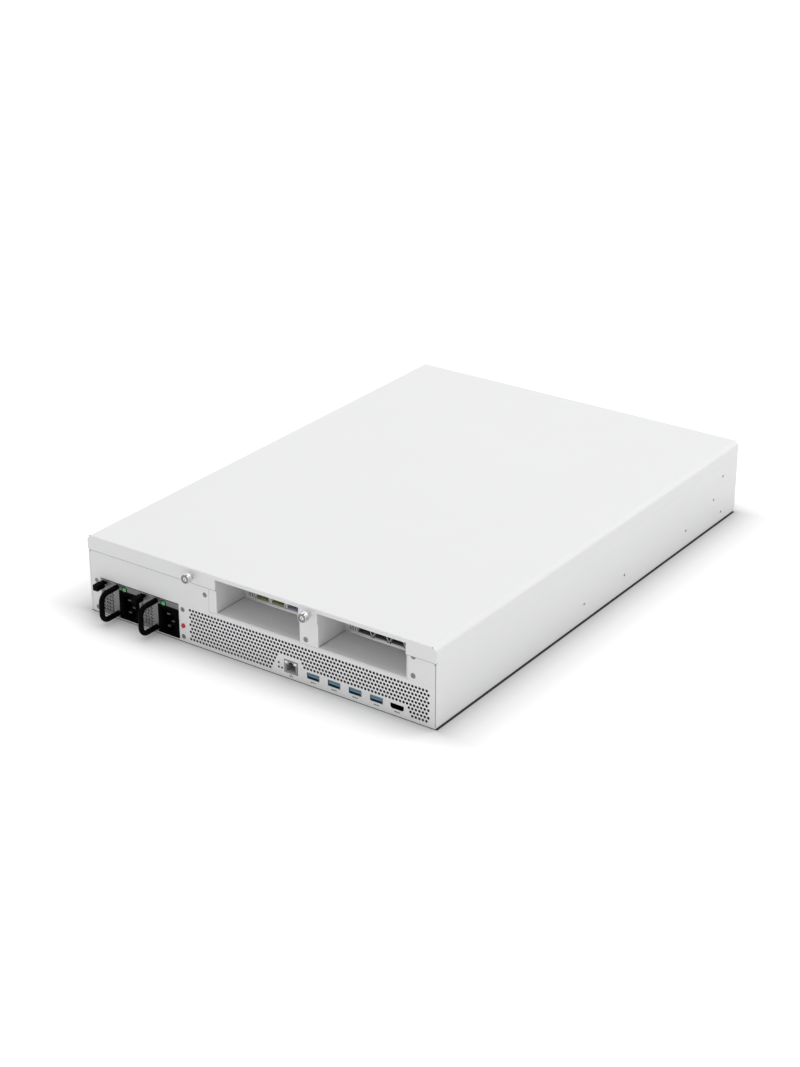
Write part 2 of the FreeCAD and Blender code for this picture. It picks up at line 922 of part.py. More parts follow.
def make_psu(side, index):
    left = psu_left_edge(index)
    right = left + s.psu_width
    middle = left + s.psu_width / 2
    wall = s.psu_wall
    plate_back = rear + wall
    plenum_back = plate_back + s.psu_plenum
    top = psu_bottom + s.psu_height
    inlet_x = (right - s.inlet_margin - s.inlet_width, right - s.inlet_margin)
    inlet_z = (psu_bottom + s.inlet_bottom, psu_bottom + s.inlet_bottom + s.inlet_height)
    latch_x = (left + s.latch_side, left + s.latch_side + s.latch_thick)
    latch_z = (psu_bottom + s.latch_low, psu_bottom + s.latch_high)
    lamp = (middle + s.lamp_side, top - s.lamp_drop)
    slip = s.slip

    case = new_body("psu_case_" + side)
    outer = rect((left, right), (psu_bottom, top))
    extrude(case, "y", [outer], (plate_back, psu_back))
    plenum = rect((left + wall, right - wall), (psu_bottom + wall, top - wall))
    extrude(case, "y", [plenum], (plate_back, plenum_back), cut=True)
    fan_middle = (middle, psu_bottom + s.psu_height / 2)
    extrude(case, "y", [Round(*fan_middle, s.psu_fan_hub)], (plenum_back - s.psu_motor_length, plenum_back))
    inlet_hole = rect((inlet_x[0] - s.seam, inlet_x[1] + s.seam), (inlet_z[0] - s.seam, inlet_z[1] + s.seam))
    latch_hole = rect((latch_x[0] - slip, latch_x[1] + s.latch_swing), (latch_z[0] - slip, latch_z[1] + slip))
    lamp_hole = Round(*lamp, s.lamp_diameter + s.seam)
    extrude(case, "y", [outer, inlet_hole, latch_hole, lamp_hole], (rear, plate_back))
    mesh_left = left + s.mesh_side
    column = [rect((mesh_left, mesh_left + s.mesh_hole),
                   (psu_bottom + s.mesh_bottom + i * s.mesh_pitch,
                    psu_bottom + s.mesh_bottom + i * s.mesh_pitch + s.mesh_hole))
              for i in range(MESH_ROWS)]
    holes = extrude(case, "y", column, (rear, plate_back), cut=True)
    repeat_along(case, holes, "X_Axis", s.mesh_pitch, MESH_COLUMNS)

    make_psu_inlet(side, inlet_x, inlet_z)
    make_psu_handle(side, middle - s.handle_side)
    make_psu_latch(side, latch_x, latch_z)
    make_fan_rotor("psu_fan_" + side, s.psu_fan_hub, s.psu_fan_tip, s.psu_fan_length, PSU_FAN_BLADES,
                   (middle, plenum_back - s.psu_motor_length - slip - s.psu_fan_length, fan_middle[1]))
    lens = new_body("psu_lamp_" + side)
    extrude(lens, "y", [Round(*lamp, s.lamp_diameter)], (rear - s.inlet_proud, rear + s.lamp_length))


def make_psu_inlet(side, x, z):
    """Mains inlet with its long side upright: a recess with two cut corners and three blades."""
    body = new_body("psu_inlet_" + side)
    mouth = rear - s.inlet_proud
    extrude(body, "y", [rect(x, z)], (mouth, mouth + s.inlet_depth))
    middle_x = (x[0] + x[1]) / 2
    middle_z = (z[0] + z[1]) / 2
    u = span(middle_x, s.socket_width)
    v = span(middle_z, s.socket_height)
    corner = s.socket_corner
    recess = [
        (u[0], v[0]),
        (u[1] - corner, v[0]),
        (u[1], v[0] + corner),
        (u[1], v[1] - corner),
        (u[1] - corner, v[1]),
        (u[0], v[1]),
    ]
    bottom = mouth + s.socket_depth
    extrude(body, "y", [recess], (mouth, bottom), cut=True)
    line_x = middle_x - s.pin_offset
    blades = [rect(span(line_x, s.pin_wide), span(middle_z + way * s.pin_spread, s.pin_thick))
              for way in (-1, 1)]
    blades.append(rect(span(middle_x + 2 * s.pin_offset, s.pin_wide), span(middle_z, s.pin_thick)))
    extrude(body, "y", blades, (bottom - s.pin_length, bottom))


def make_psu_handle(side, x):
    """Pull handle bent from a twelve-sided bar."""
    body = new_body("psu_handle_" + side)
    low = psu_bottom + s.handle_low
    high = psu_bottom + s.handle_high
    out = rear - s.handle_reach
    corner = s.handle_corner
    section = new_sketch(body, "XZ_Plane", [ring_of(x, low, s.handle_bar / 2, HANDLE_SIDES)], -rear)
    path = body.newObject("Sketcher::SketchObject", "Path")
    path.AttachmentSupport = (origin_feature(body, "YZ_Plane"), [""])
    path.MapMode = "FlatFace"
    bind(path, "AttachmentOffset.Base.z", x)
    ends = [(rear, low), (out + corner, low), (out, low + corner),
            (out, high - corner), (out + corner, high), (rear, high)]
    add_path(path, ends, corner)
    sweep = body.newObject("PartDesign::AdditivePipe", "Bar")
    sweep.Profile = section
    sweep.Spine = path


def add_path(path, ends, corner):
    """Straight, quarter turn, straight, quarter turn, straight."""
    points = [FreeCAD.Vector(number_of(u), number_of(v), 0) for u, v in ends]
    lean = number_of(corner) * (1 - DIAGONAL / 2)
    low_mid = FreeCAD.Vector(points[2].x + lean, points[1].y + lean, 0)
    high_mid = FreeCAD.Vector(points[2].x + lean, points[4].y - lean, 0)
    path.addGeometry([
        Part.LineSegment(points[0], points[1]),
        Part.Arc(points[1], low_mid, points[2]),
        Part.LineSegment(points[2], points[3]),
        Part.Arc(points[3], high_mid, points[4]),
        Part.LineSegment(points[4], points[5]),
    ], False)
    for piece, (start, end) in enumerate(((0, 1), (2, 3), (4, 5))):
        pin_point(path, 2 * piece, 1, *ends[start])
        pin_point(path, 2 * piece, 2, *ends[end])
    for arc in (1, 3):
        for own in (1, 2):
            arc_end = path.getPoint(arc, own)
            line, other = min(((line, end) for line in (0, 2, 4) for end in (1, 2)),
                              key=lambda place: path.getPoint(*place).distanceToPoint(arc_end))
            path.addConstraint(Sketcher.Constraint("Coincident", arc, own, line, other))
        size = path.addConstraint(Sketcher.Constraint("Radius", arc, number_of(corner)))
        bind(path, "Constraints[%d]" % size, corner)


def make_psu_latch(side, x, z):
    """Release tab on a barrel that turns against the case wall."""
    body = new_body("psu_latch_" + side)
    pivot_y = rear + s.latch_pivot
    middle_x = (x[0] + x[1]) / 2
    extrude(body, "z", [Round(middle_x, pivot_y, s.latch_barrel)], z)
    extrude(body, "z", [rect(x, (rear - s.latch_reach, pivot_y))], z)


def make_fan_rotor(label, hub, tip, length, blades, centre):
    """Impeller: a hub with pitched blades, turning about Y."""
    body = new_body(label)
    extrude(body, "y", [Round(0.0, 0.0, hub)], (0.0, length))
    lean = length * BLADE_LEAN
    thick = length * BLADE_THICK
    low = length * BLADE_START
    high = length * BLADE_END
    section = [
        (low, -lean),
        (low + thick, -lean - thick),
        (high, lean - thick),
        (high - thick, lean),
    ]
    reach = root(tip * tip / 4 - (lean + thick) * (lean + thick))
    blade = extrude(body, "x", [section], (hub * BLADE_ROOT, reach))
    repeat_around(body, blade, "Y_Axis", blades)
    place(body, *centre)
    return body


# Boards, connectors and cards

def make_mainboard():
    board = new_body("motherboard")
    x = (mainboard_left, mainboard_left + s.mainboard_width)
    y = (mainboard_back, mainboard_back + s.mainboard_depth)
    extrude(board, "z", [rect(x, y)], (mainboard_low, mainboard_top))
    posts = []
    reach_x = s.mainboard_width - 2 * s.standoff_edge
    reach_y = s.mainboard_depth - 2 * s.standoff_edge
    for i in range(STANDOFF_GRID):
        for j in range(STANDOFF_GRID):
            post = prism("standoff", STANDOFF_SIDES, s.standoff_width, s.standoff_height)
            place(post, x[0] + s.standoff_edge + reach_x * i / (STANDOFF_GRID - 1),
                  y[0] + s.standoff_edge + reach_y * j / (STANDOFF_GRID - 1), gauge)
            posts.append(post)
    grouped("board_standoffs", posts)


def make_ports():
    face = rear - s.port_proud
    lan = new_body("lan_jack")
    lan_z = (mainboard_top, mainboard_top + s.lan_height)
    extrude(lan, "y", [rect(span(lan_x, s.lan_width), lan_z)], (face, face + s.lan_depth))
    hole_low = mainboard_top + s.lan_hole_rise
    hole = rect(span(lan_x, s.lan_hole_width), (hole_low, hole_low + s.lan_hole_height))
    extrude(lan, "y", [hole], (face, face + s.lan_hole_depth), cut=True)

    usb = [make_usb(i, face) for i in range(USB_COUNT)]
    grouped("usb_sockets", usb)

    hdmi = new_body("hdmi_socket")
    low = mainboard_top + s.hdmi_rise
    shell = hdmi_outline(low, 0.0)
    extrude(hdmi, "y", [shell], (face, face + s.hdmi_depth))
    extrude(hdmi, "y", [hdmi_outline(low, s.usb_shell)], (face, face + s.hdmi_depth - s.usb_shell), cut=True)
    tongue_z = span(low + s.hdmi_height / 2, s.usb_tongue / 2)
    tongue = rect(span(hdmi_x, s.hdmi_width - 4 * s.hdmi_taper), tongue_z)
    extrude(hdmi, "y", [tongue], (face + s.usb_shell, face + s.hdmi_depth))
    foot = rect(span(hdmi_x, s.hdmi_width - 4 * s.hdmi_taper), (mainboard_top, low))
    extrude(hdmi, "y", [foot], (behind_panel + s.slip + s.mainboard_inset, face + s.hdmi_depth))


def hdmi_outline(low, wall):
    """Rectangle with its two lower corners cut, set in by the wall."""
    half = s.hdmi_width / 2 - wall
    high = low + s.hdmi_height - wall
    taper = s.hdmi_taper
    right_half = [(half - taper, low + wall), (half, low + wall + taper), (half, high)]
    return [(hdmi_x + u, v) for u, v in both_sides(right_half)]


def make_usb(index, face):
    body = doc.addObject("PartDesign::Body", "usb_socket")
    x = usb_x + index * s.usb_pitch
    low = mainboard_top + s.usb_rise
    high = low + s.usb_height
    wall = s.usb_shell
    extrude(body, "y", [rect(span(x, s.usb_width), (low, high))], (face, face + s.usb_depth))
    inside = rect(span(x, s.usb_width - 2 * wall), (low + wall, high - wall))
    extrude(body, "y", [inside], (face, face + s.usb_depth - wall), cut=True)
    tongue_high = high - 2 * wall
    tongue = rect(span(x, s.usb_width - 4 * wall), (tongue_high - s.usb_tongue, tongue_high))
    extrude(body, "y", [tongue], (face + wall, face + s.usb_depth))
    foot = rect(span(x, s.usb_width - 2 * wall), (mainboard_top, low))
    extrude(body, "y", [foot], (behind_panel + s.slip + s.mainboard_inset, face + s.usb_depth))
    return body


def make_processor():
    x = processor_x
    y = processor_y
    chip = new_body("processor")
    frame_top = mainboard_top + s.processor_frame_height
    lid_top = frame_top + s.processor_lid_height
    frame = rect(span(x, s.processor_frame), span(y, s.processor_frame))
    extrude(chip, "z", [frame], (mainboard_top, frame_top))
    extrude(chip, "z", [rect(span(x, s.processor_lid), span(y, s.processor_lid))], (frame_top, lid_top))

    cooler = new_body("heatsink")
    base_top = lid_top + s.cooler_base
    along = span(y, s.cooler_length)
    across = span(x, s.cooler_width)
    extrude(cooler, "y", [rect(across, (lid_top, base_top))], along)
    fin = rect((across[0], across[0] + s.fin_gauge), (base_top, lid_top + s.cooler_height))
    first = extrude(cooler, "y", [fin], along)
    repeat_along(cooler, first, "X_Axis", s.fin_pitch, fin_count(s.cooler_width, s.fin_gauge, s.fin_pitch))


def fin_count(width, fin, pitch):
    """How many fins at a pitch fit on a block of the given width."""
    return int((width.value - fin.value) / pitch.value) + 1


def memory_row():
    """Places of the memory sockets on both sides of the processor."""
    places = []
    for way in (-1, 1):
        for i in range(MEMORY_PER_SIDE):
            places.append(processor_x + way * (s.memory_offset + i * s.memory_pitch))
    return places


def make_memory():
    top = mainboard_top + s.memory_socket_height
    seat = top - s.memory_seat
    y = processor_y
    sockets = []
    modules = []
    for x in memory_row():
        base = block("socket_block", span(x, s.memory_socket_width), span(y, s.memory_socket_length),
                     (mainboard_top, top))
        groove = block("socket_groove", span(x, s.memory_gauge + s.seam),
                       span(y, s.memory_length + s.seam), (seat, top))
        sockets.append(cut_from("memory_socket", base, [groove]))
        card = block("memory_board", span(x, s.memory_gauge), span(y, s.memory_length),
                     (seat, seat + s.memory_height))
        chip_row = span(y, s.memory_length - s.memory_socket_width)
        chips = block("memory_chips", span(x, s.memory_chip), chip_row,
                      (top + s.memory_seat, seat + s.memory_height - s.memory_seat))
        modules.append(fused("memory_module", [card, chips]))
    grouped("memory_sockets", sockets)
    grouped("memory_modules", modules)


def make_cards():
    """Two flat cards, each plugged sideways into a riser, with cages that reach into its bay."""
    y = (bay_tail, bay_tail + s.card_length)
    riser_y = (bay_tail + s.riser_back, bay_tail + s.riser_back + s.riser_length)
    socket_z = span(s.card_bottom + s.board_gauge / 2, s.riser_socket_height)
    groove_z = (s.card_bottom - s.seam, card_top + s.seam)
    risers = []
    cards = []
    for side, start, way in (("left", bay_starts[0], -1), ("right", bay_starts[1], 1)):
        near = bay_gap_middle + way * s.riser_gap / 2
        outer = near + way * s.board_gauge
        lip = outer + way * s.riser_socket
        grip = lip - way * s.riser_grip
        board = block("riser_board", in_order(near, outer), riser_y, (mainboard_top, s.riser_top))
        socket = block("riser_socket", in_order(outer, lip), riser_y, socket_z)
        groove = block("riser_groove", in_order(grip, lip), riser_y, groove_z)
        risers.append(fused("riser", [board, cut_from("riser_slot", socket, [groove])]))

        card = doc.addObject("PartDesign::Body", side + "_card")
        far = start + s.card_margin if way < 0 else start + s.bay_width - s.card_margin
        edge = grip + way * s.seam
        extrude(card, "z", [rect(in_order(edge, far), y)], (s.card_bottom, card_top))
        cooler = make_card_cooler(side, (edge + far) / 2)
        cards += [card, cooler]

        cages = [make_cage(x) for x in cage_row(start)]
        grouped(side + "_cages", cages)
    grouped("card_risers", risers)
    grouped("network_cards", cards)


def make_card_cooler(side, x):
    """Finned block on the card's controller, behind the port cages."""
    body = doc.addObject("PartDesign::Body", side + "_card_cooler")
    near = bay_back - s.cage_proud + s.cage_length + s.card_cooler_gap
    along = (near, near + s.card_cooler_length)
    across = span(x, s.card_cooler_width)
    base_top = card_top + s.card_cooler_base
    extrude(body, "y", [rect(across, (card_top, base_top))], along)
    fin = rect((across[0], across[0] + s.card_fin), (base_top, card_top + s.card_cooler_height))
    first = extrude(body, "y", [fin], along)
    count = fin_count(s.card_cooler_width, s.card_fin, s.card_fin_pitch)
    repeat_along(body, first, "X_Axis", s.card_fin_pitch, count)
    return body


def in_order(first, second):
    return (first, second) if number_of(first) < number_of(second) else (second, first)


def make_cage(x):
    """Thin metal sleeve for one plug, open to the rear."""
    y = (bay_back - s.cage_proud, bay_back - s.cage_proud + s.cage_length)
    wall = s.cage_wall
    sleeve = block("cage_sleeve", span(x, s.cage_width), y, (card_top, card_top + s.cage_height))
    throat = block("cage_throat", span(x, s.cage_width - 2 * wall), (y[0], y[1] - wall),
                   (card_top + wall, card_top + s.cage_height - wall))
    return cut_from("port_cage", sleeve, [throat])


# System fans

def make_fans():
    wall_y = (s.fan_wall_y, s.fan_wall_y + gauge)
    places = [(i - (FAN_COUNT - 1) / 2) * s.fan_pitch for i in range(FAN_COUNT)]
    middle_z = gauge + s.fan_size / 2
    wall = new_body("fan_wall")
    outline = rect((-panel_high_side, panel_high_side), (gauge, panel_top))
    openings = [Round(x, middle_z, s.fan_bore) for x in places]
    extrude(wall, "y", [outline] + openings, wall_y)

    frames = []
    back = wall_y[1]
    base_end = back + s.fan_base
    fan_end = back + s.fan_depth
    for i, x in enumerate(places, start=1):
        frame = doc.addObject("PartDesign::Body", "fan_frame_%d" % i)
        square = rect(span(x, s.fan_size), (gauge, gauge + s.fan_size))
        extrude(frame, "y", [square, Round(x, middle_z, s.fan_bore)], (back, fan_end))
        bars = [rect(span(x, s.fan_bore + s.fan_strut / 2), span(middle_z, s.fan_strut))]
        extrude(frame, "y", bars, (back, base_end))
        bars = [rect(span(x, s.fan_strut), span(middle_z, s.fan_bore + s.fan_strut / 2))]
        extrude(frame, "y", bars, (back, base_end))
        extrude(frame, "y", [Round(x, middle_z, s.fan_hub)], (back, base_end))
        frames.append(frame)
        length = s.fan_depth - s.fan_base - 2 * s.slip - s.fan_strut
        make_fan_rotor("fan_rotor_%d" % i, s.fan_hub, s.fan_tip, length, FAN_BLADES,
                       (x, base_end + s.slip, middle_z))
    grouped("fan_frames", frames)


# Drive bays and front

def make_drive_cage():
    body = new_body("drive_cage")
    outer = s.drive_pitch * DRIVE_COUNT + gauge
    extrude(body, "y", [rect(span(0.0, outer), (gauge, drive_bay_top + gauge))],
            (backplane_front, behind_front))
    bay = rect(span(drive_row[0], s.drive_pitch - gauge), (gauge, drive_bay_top))
    first = extrude(body, "y", [bay], (backplane_front, behind_front), cut=True)
    repeat_along(body, first, "X_Axis", s.drive_pitch, DRIVE_COUNT)

    plane = new_body("drive_backplane")
    extrude(plane, "y", [rect(span(0.0, outer), (gauge, drive_bay_top + gauge))],
            (backplane_back, backplane_front))
    plug_z = (psu_bottom + s.carrier_floor + s.slip, psu_bottom + s.carrier_floor + s.slip + s.plug_height)
    plug = extrude(plane, "y", [rect(span(drive_row[0], s.plug_width), plug_z)],
                   (backplane_front, backplane_front + s.plug_depth))
    repeat_along(plane, plug, "X_Axis", s.drive_pitch, DRIVE_COUNT)


def make_drive(index):
    x = drive_row[index]
    label = str(index + 1)
    low = gauge + s.slip
    high = drive_bay_top - s.slip
    width = s.drive_pitch - gauge - 2 * s.slip
    inner = s.drive_width + 2 * s.seam
    seat = low + s.carrier_floor

    carrier = new_body("drive_carrier_" + label)
    tail = drive_back + s.carrier_tail
    extrude(carrier, "y", [rect(span(x, width), (low, high))], (tail, bezel_front))
    bed = rect(span(x, inner), (seat, high))
    extrude(carrier, "y", [bed], (tail, bezel_back), cut=True)
    pivot_x = x - width / 2 + s.lever_edge
    pivot_y = lever_back + s.lever_thick / 2
    ear_x = span(pivot_x, s.lever_thick + 2 * s.slip)
    ear_y = (bezel_front, pivot_y + s.lever_thick / 2)
    lever_z = (low + s.lever_low, low + s.lever_high)
    extrude(carrier, "z", [rect(ear_x, ear_y)], (low, lever_z[0] - s.slip))
    extrude(carrier, "z", [rect(ear_x, ear_y)], (lever_z[1] + s.slip, high))
    extrude(carrier, "z", [Round(pivot_x, pivot_y, s.lever_pin - s.slip)],
            (lever_z[0] - s.slip, lever_z[1] + s.slip))

    drive = new_body("hard_drive_" + label)
    extrude(drive, "z", [rect(span(x, s.drive_width), (drive_back, bezel_back))],
            (seat, seat + s.drive_height))

    lever = new_body("drive_lever_" + label)
    arm = rect((pivot_x, pivot_x + s.lever_length), (lever_back, lever_back + s.lever_thick))
    extrude(lever, "z", [arm], lever_z)
    extrude(lever, "z", [Round(pivot_x, pivot_y, s.lever_thick)], lever_z)
    extrude(lever, "z", [Round(pivot_x, pivot_y, s.lever_pin)], lever_z, cut=True)


def make_front():
    """Front frame over the drive bays, with the slotted air intake and the power button."""
    frame = new_body("front_frame")
    right_half = [
        (panel_low_side, gauge),
        (panel_low_side, panel_step),
        (panel_high_side, panel_step),
        (panel_high_side, panel_top),
    ]
    opening_side = panel_low_side - s.front_lip
    rail_low = drive_bay_top
    rail_high = drive_bay_top + gauge + s.front_rail
    grille_x = (s.front_rail - panel_high_side, panel_high_side - s.control_width)
    grille_z = (rail_high, panel_top - s.front_rail)
    button_x = panel_high_side - s.control_width / 2
    button = Round(button_x, s.button_height, s.button_diameter + 2 * s.slip)
    extrude(frame, "y", [both_sides(right_half), rect(grille_x, grille_z), button], (behind_front, front))
    bays = rect((-opening_side, opening_side), (gauge, rail_low))
    extrude(frame, "y", [bays], (behind_front, front), cut=True)

    grille = new_body("intake_grille")
    border = s.grille_border
    plate_x = (grille_x[0] - border / 2, grille_x[1] + border)
    plate_z = (drive_bay_top + gauge + s.slip, panel_top)
    plate_y = (behind_front - gauge, behind_front)
    extrude(grille, "y", [rect(plate_x, plate_z)], plate_y)
    slot = rect((grille_x[0] + border, grille_x[0] + border + s.grille_slot),
                (grille_z[0] + border, grille_z[1] - border))
    first = extrude(grille, "y", [slot], plate_y, cut=True)
    room = grille_x[1].value - grille_x[0].value - 2 * border.value - s.grille_slot.value
    repeat_along(grille, first, "X_Axis", s.grille_pitch, int(room / s.grille_pitch.value) + 1)

    power = new_body("power_button")
    push_button(power, (button_x, s.button_height), s.button_diameter, s.button_rim, front, 1)


def push_button(body, middle, diameter, rim, face, way):
    """A stem through the sheet with a rim behind it; way is the side the stem looks out of."""
    tip = face + way * s.button_proud
    rim_near = face - way * (gauge + s.slip)
    rim_far = rim_near - way * rim
    extrude(body, "y", [Round(*middle, diameter)], in_order(tip, rim_near))
    extrude(body, "y", [Round(*middle, diameter + 2 * rim)], in_order(rim_near, rim_far))


def make_alarm_button():
    body = new_body("alarm_button")
    push_button(body, (alarm_x, s.alarm_z), s.alarm_diameter, s.alarm_rim, rear, -1)


def build():
    make_chassis_tray()
    make_top_cover()
    make_psu_panel()
    make_io_panel()
    make_rear_corner()
    make_card_bays()
    make_rear_screws()
    make_thumbscrews()
    make_psu_cage()
    for index, side in enumerate(("left", "right")):
        make_psu(side, index)
    make_alarm_button()
    make_mainboard()
    make_ports()
    make_processor()
    make_memory()
    make_cards()
    make_fans()
    make_drive_cage()
    for index in range(DRIVE_COUNT):
        make_drive(index)
    make_front()


def check():
    """Stop before anything is written if a feature failed, cut nothing or left a bad solid."""
    for thing in doc.Objects:
        if "Invalid" in thing.State or "Error" in thing.State:
            raise RuntimeError("%s failed: %s" % (thing.Label, thing.State))
    for base, pocket in pockets:
        if base and pocket.Shape.Volume >= base.Shape.Volume:
            raise RuntimeError("%s cuts nothing" % pocket.Label)
    for node in nodes:
        if node.Shape.isNull() or not node.Shape.isValid():
            raise RuntimeError("%s has no valid solid" % node.Label)


def export():
    os.makedirs("parts", exist_ok=True)
    for node in nodes:
        node.Shape.exportStep("parts/%s.step" % node.Label)


build()
doc.recompute()
check()
export()
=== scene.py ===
"""Looks of a white two-unit rack server: dresses its CAD frame and sets a studio around it."""

import json
import math
import random
from collections import namedtuple

import bmesh
import bpy
from bpy.props import FloatProperty, FloatVectorProperty, IntProperty, PointerProperty
from bpy.types import Operator, Panel, PropertyGroup
from mathutils import Matrix, Vector


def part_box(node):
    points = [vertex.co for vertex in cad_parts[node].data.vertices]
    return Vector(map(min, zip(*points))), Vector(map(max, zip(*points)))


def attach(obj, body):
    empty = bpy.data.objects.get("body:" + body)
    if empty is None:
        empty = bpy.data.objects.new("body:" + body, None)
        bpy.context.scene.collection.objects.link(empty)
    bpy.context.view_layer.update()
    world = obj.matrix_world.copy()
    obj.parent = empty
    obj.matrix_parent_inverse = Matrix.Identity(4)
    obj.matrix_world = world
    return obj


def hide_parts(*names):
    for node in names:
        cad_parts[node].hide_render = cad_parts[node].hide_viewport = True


bl_info = {
    "name": "Rack Server Looks",
    "version": (1, 0, 0),
    "blender": (4, 5, 0),
    "location": "View3D > Sidebar > Rack Server",
    "description": "Dresses the CAD frame of a two-unit rack server and sets a studio around it",
    "category": "Object",
}

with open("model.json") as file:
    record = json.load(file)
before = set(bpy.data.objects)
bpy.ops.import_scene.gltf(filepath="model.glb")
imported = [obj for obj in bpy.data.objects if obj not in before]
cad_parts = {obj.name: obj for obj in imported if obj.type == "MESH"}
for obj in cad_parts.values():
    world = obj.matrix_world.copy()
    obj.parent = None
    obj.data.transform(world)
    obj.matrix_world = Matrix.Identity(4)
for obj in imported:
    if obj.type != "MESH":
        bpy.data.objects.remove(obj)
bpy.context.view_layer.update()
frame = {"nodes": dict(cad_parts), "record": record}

MM = 0.001
RECORD = frame["record"]
BODY_OF = {node: body for body, nodes in RECORD["behaviour"]["bodies"].items() for node in nodes}
SLOT_OF = {row["node"]: row["material_slot"] for row in RECORD["subparts"]}
SIDES = ("left", "right")
SMOOTH_ANGLE = math.radians(35)
BEVEL_ANGLE = math.radians(40)


# Sizes and colours that a user would change

def colour_property(label, note, value):
    return FloatVectorProperty(name=label, description=note, default=value, size=3, min=0.0, max=1.0,
                               subtype="COLOR")


def length_property(label, note, value):
    return FloatProperty(name=label, description=note, default=value, min=0.0, unit="LENGTH", precision=5)


class EnclosureLooks(PropertyGroup):
    """Painted steel of the enclosure."""
    paint: colour_property("Paint", "White powder coat outside", (0.72, 0.722, 0.725))
    bay_paint: colour_property("Bay paint", "Grey finish inside the card bays", (0.69, 0.69, 0.695))
    fold: length_property("Fold radius", "Outer radius of the cover's folds", 1.2 * MM)
    edge: length_property("Sheet edge", "Rounding of cut sheet edges", 0.25 * MM)
    vent_hole: length_property("Vent hole", "Diameter of the round vent holes", 2.95 * MM)
    vent_sides: IntProperty(name="Vent sides", description="Facets of each vent hole", default=16, min=6)


class FittingLooks(PropertyGroup):
    """Colours of the plastic and metal fittings."""
    plastic: colour_property("Black plastic", "Handles, inlets and latches", (0.0016, 0.0016, 0.0017))
    alarm: colour_property("Alarm button", "Red of the alarm button", (0.47, 0.008, 0.014))
    lamp: colour_property("Lamp", "Green of the power lamps", (0.05, 0.30, 0.09))
    board: colour_property("Circuit board", "Green of the circuit boards", (0.012, 0.085, 0.035))
    tongue: colour_property("Socket tongue", "Blue of the socket tongues", (0.11, 0.27, 0.39))


class StudioLooks(PropertyGroup):
    """Floor, light and camera."""
    floor: colour_property("Floor", "Colour of the floor", (0.93, 0.93, 0.93))
    # End shade and side shade set how far the painted shadow on the paper reaches.
    end_shade: length_property("End shade", "How far the paper greys at the server's two ends", 45 * MM)
    side_shade: length_property("Side shade", "How far the paper greys along the server's sides", 125 * MM)
    foot_gap: length_property("Foot gap", "Shadow gap between the server and the floor", 0.7 * MM)
    glow: FloatProperty(name="Glow", description="Light that the paper adds to what it reflects",
                        default=0.14, min=0.0)
    dome: FloatProperty(name="Dome", description="Strength of the white surround", default=0.694, min=0.0)
    overhead: FloatProperty(name="Overhead", description="Power of the overhead soft box", default=42.0,
                            min=0.0, unit="POWER")
    far: FloatProperty(name="Far", description="Power of the soft box beyond the server's front",
                       default=95.0, min=0.0, unit="POWER")
    lens: FloatProperty(name="Lens", description="Focal length in millimetres", default=73.43, min=1.0)
    azimuth: FloatProperty(name="Azimuth", description="Camera's turn from the rear", subtype="ANGLE",
                           default=math.radians(35.08))
    elevation: FloatProperty(name="Elevation", description="Camera's height angle", subtype="ANGLE",
                             default=math.radians(25.07))
    place: FloatVectorProperty(name="Camera place", description="Where the camera stands", size=3,
                               subtype="TRANSLATION", unit="LENGTH", default=(1.22596, -1.80025, 1.04852))


class ServerLooks(PropertyGroup):
    """All settings of the rack server's looks."""
    enclosure: PointerProperty(type=EnclosureLooks)
    fittings: PointerProperty(type=FittingLooks)
    studio: PointerProperty(type=StudioLooks)


def looks():
    return bpy.context.scene.rack_server


# Shapes in millimetres

def spot(axis, level, u, v):
    """A point from its level along an axis and its other two coordinates in order."""
    return {"x": (level, u, v), "y": (u, level, v), "z": (u, v, level)}[axis]


def rect(u, v):
    return [(u[0], v[0]), (u[1], v[0]), (u[1], v[1]), (u[0], v[1])]


def span(middle, width):
    return (middle - width / 2, middle + width / 2)


def inset(reach, start, end=None):
    """A reach made shorter at its ends, or longer where the figures are negative."""
    return (reach[0] + start, reach[1] - (start if end is None else end))


def beyond(level, reach):
    """A reach that is counted from a level."""
    return (level + reach[0], level + reach[1])


def row(start, step, count):
    """Evenly spaced places from a first one."""
    return [tuple(s + i * d for s, d in zip(start, step)) for i in range(count)]


def circle(u, v, radius, sides):
    angles = [2 * math.pi * i / sides for i in range(sides)]
    return [(u + radius * math.cos(a), v + radius * math.sin(a)) for a in angles]


def rounded(u, v, radius, steps=4):
    """A rectangle with rounded corners."""
    points = []
    corners = [(u[1], v[1], 0), (u[0], v[1], 90), (u[0], v[0], 180), (u[1], v[0], 270)]
    for cu, cv, start in corners:
        mu = cu - radius if cu == u[1] else cu + radius
        mv = cv - radius if cv == v[1] else cv + radius
        for i in range(steps + 1):
            a = math.radians(start + 90 * i / steps)
            points.append((mu + radius * math.cos(a), mv + radius * math.sin(a)))
    return points


class Box:
    """Reaches along X, Y and Z in millimetres."""

    def __init__(self, low, high):
        self.middle = (low + high) / 2
        self.x = (low.x, high.x)
        self.y = (low.y, high.y)
        self.z = (low.z, high.z)


def bounds(node):
    """The box of a CAD node."""
    return Box(*(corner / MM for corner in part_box(node)))


def welded(node):
    """A CAD node's loose triangles, welded."""
    bm = bmesh.new()
    bm.from_mesh(frame["nodes"][node].data)
    bmesh.ops.remove_doubles(bm, verts=bm.verts, dist=0.002 * MM)
    return bm


def solids(node):
    """The boxes of a CAD node's separate solids, from left to right."""
    bm = welded(node)
    seen = set()
    found = []
    for start in bm.verts:
        if start in seen:
            continue
        seen.add(start)
        group = [start]
        for vert in group:
            for edge in vert.link_edges:
                other = edge.other_vert(vert)
                if other not in seen:
                    seen.add(other)
                    group.append(other)
        places = [vert.co / MM for vert in group]
        found.append(Box(Vector([min(p[i] for p in places) for i in range(3)]),
                         Vector([max(p[i] for p in places) for i in range(3)])))
    bm.free()
    return sorted(found, key=lambda box: tuple(round(v, 2) for v in box.middle))


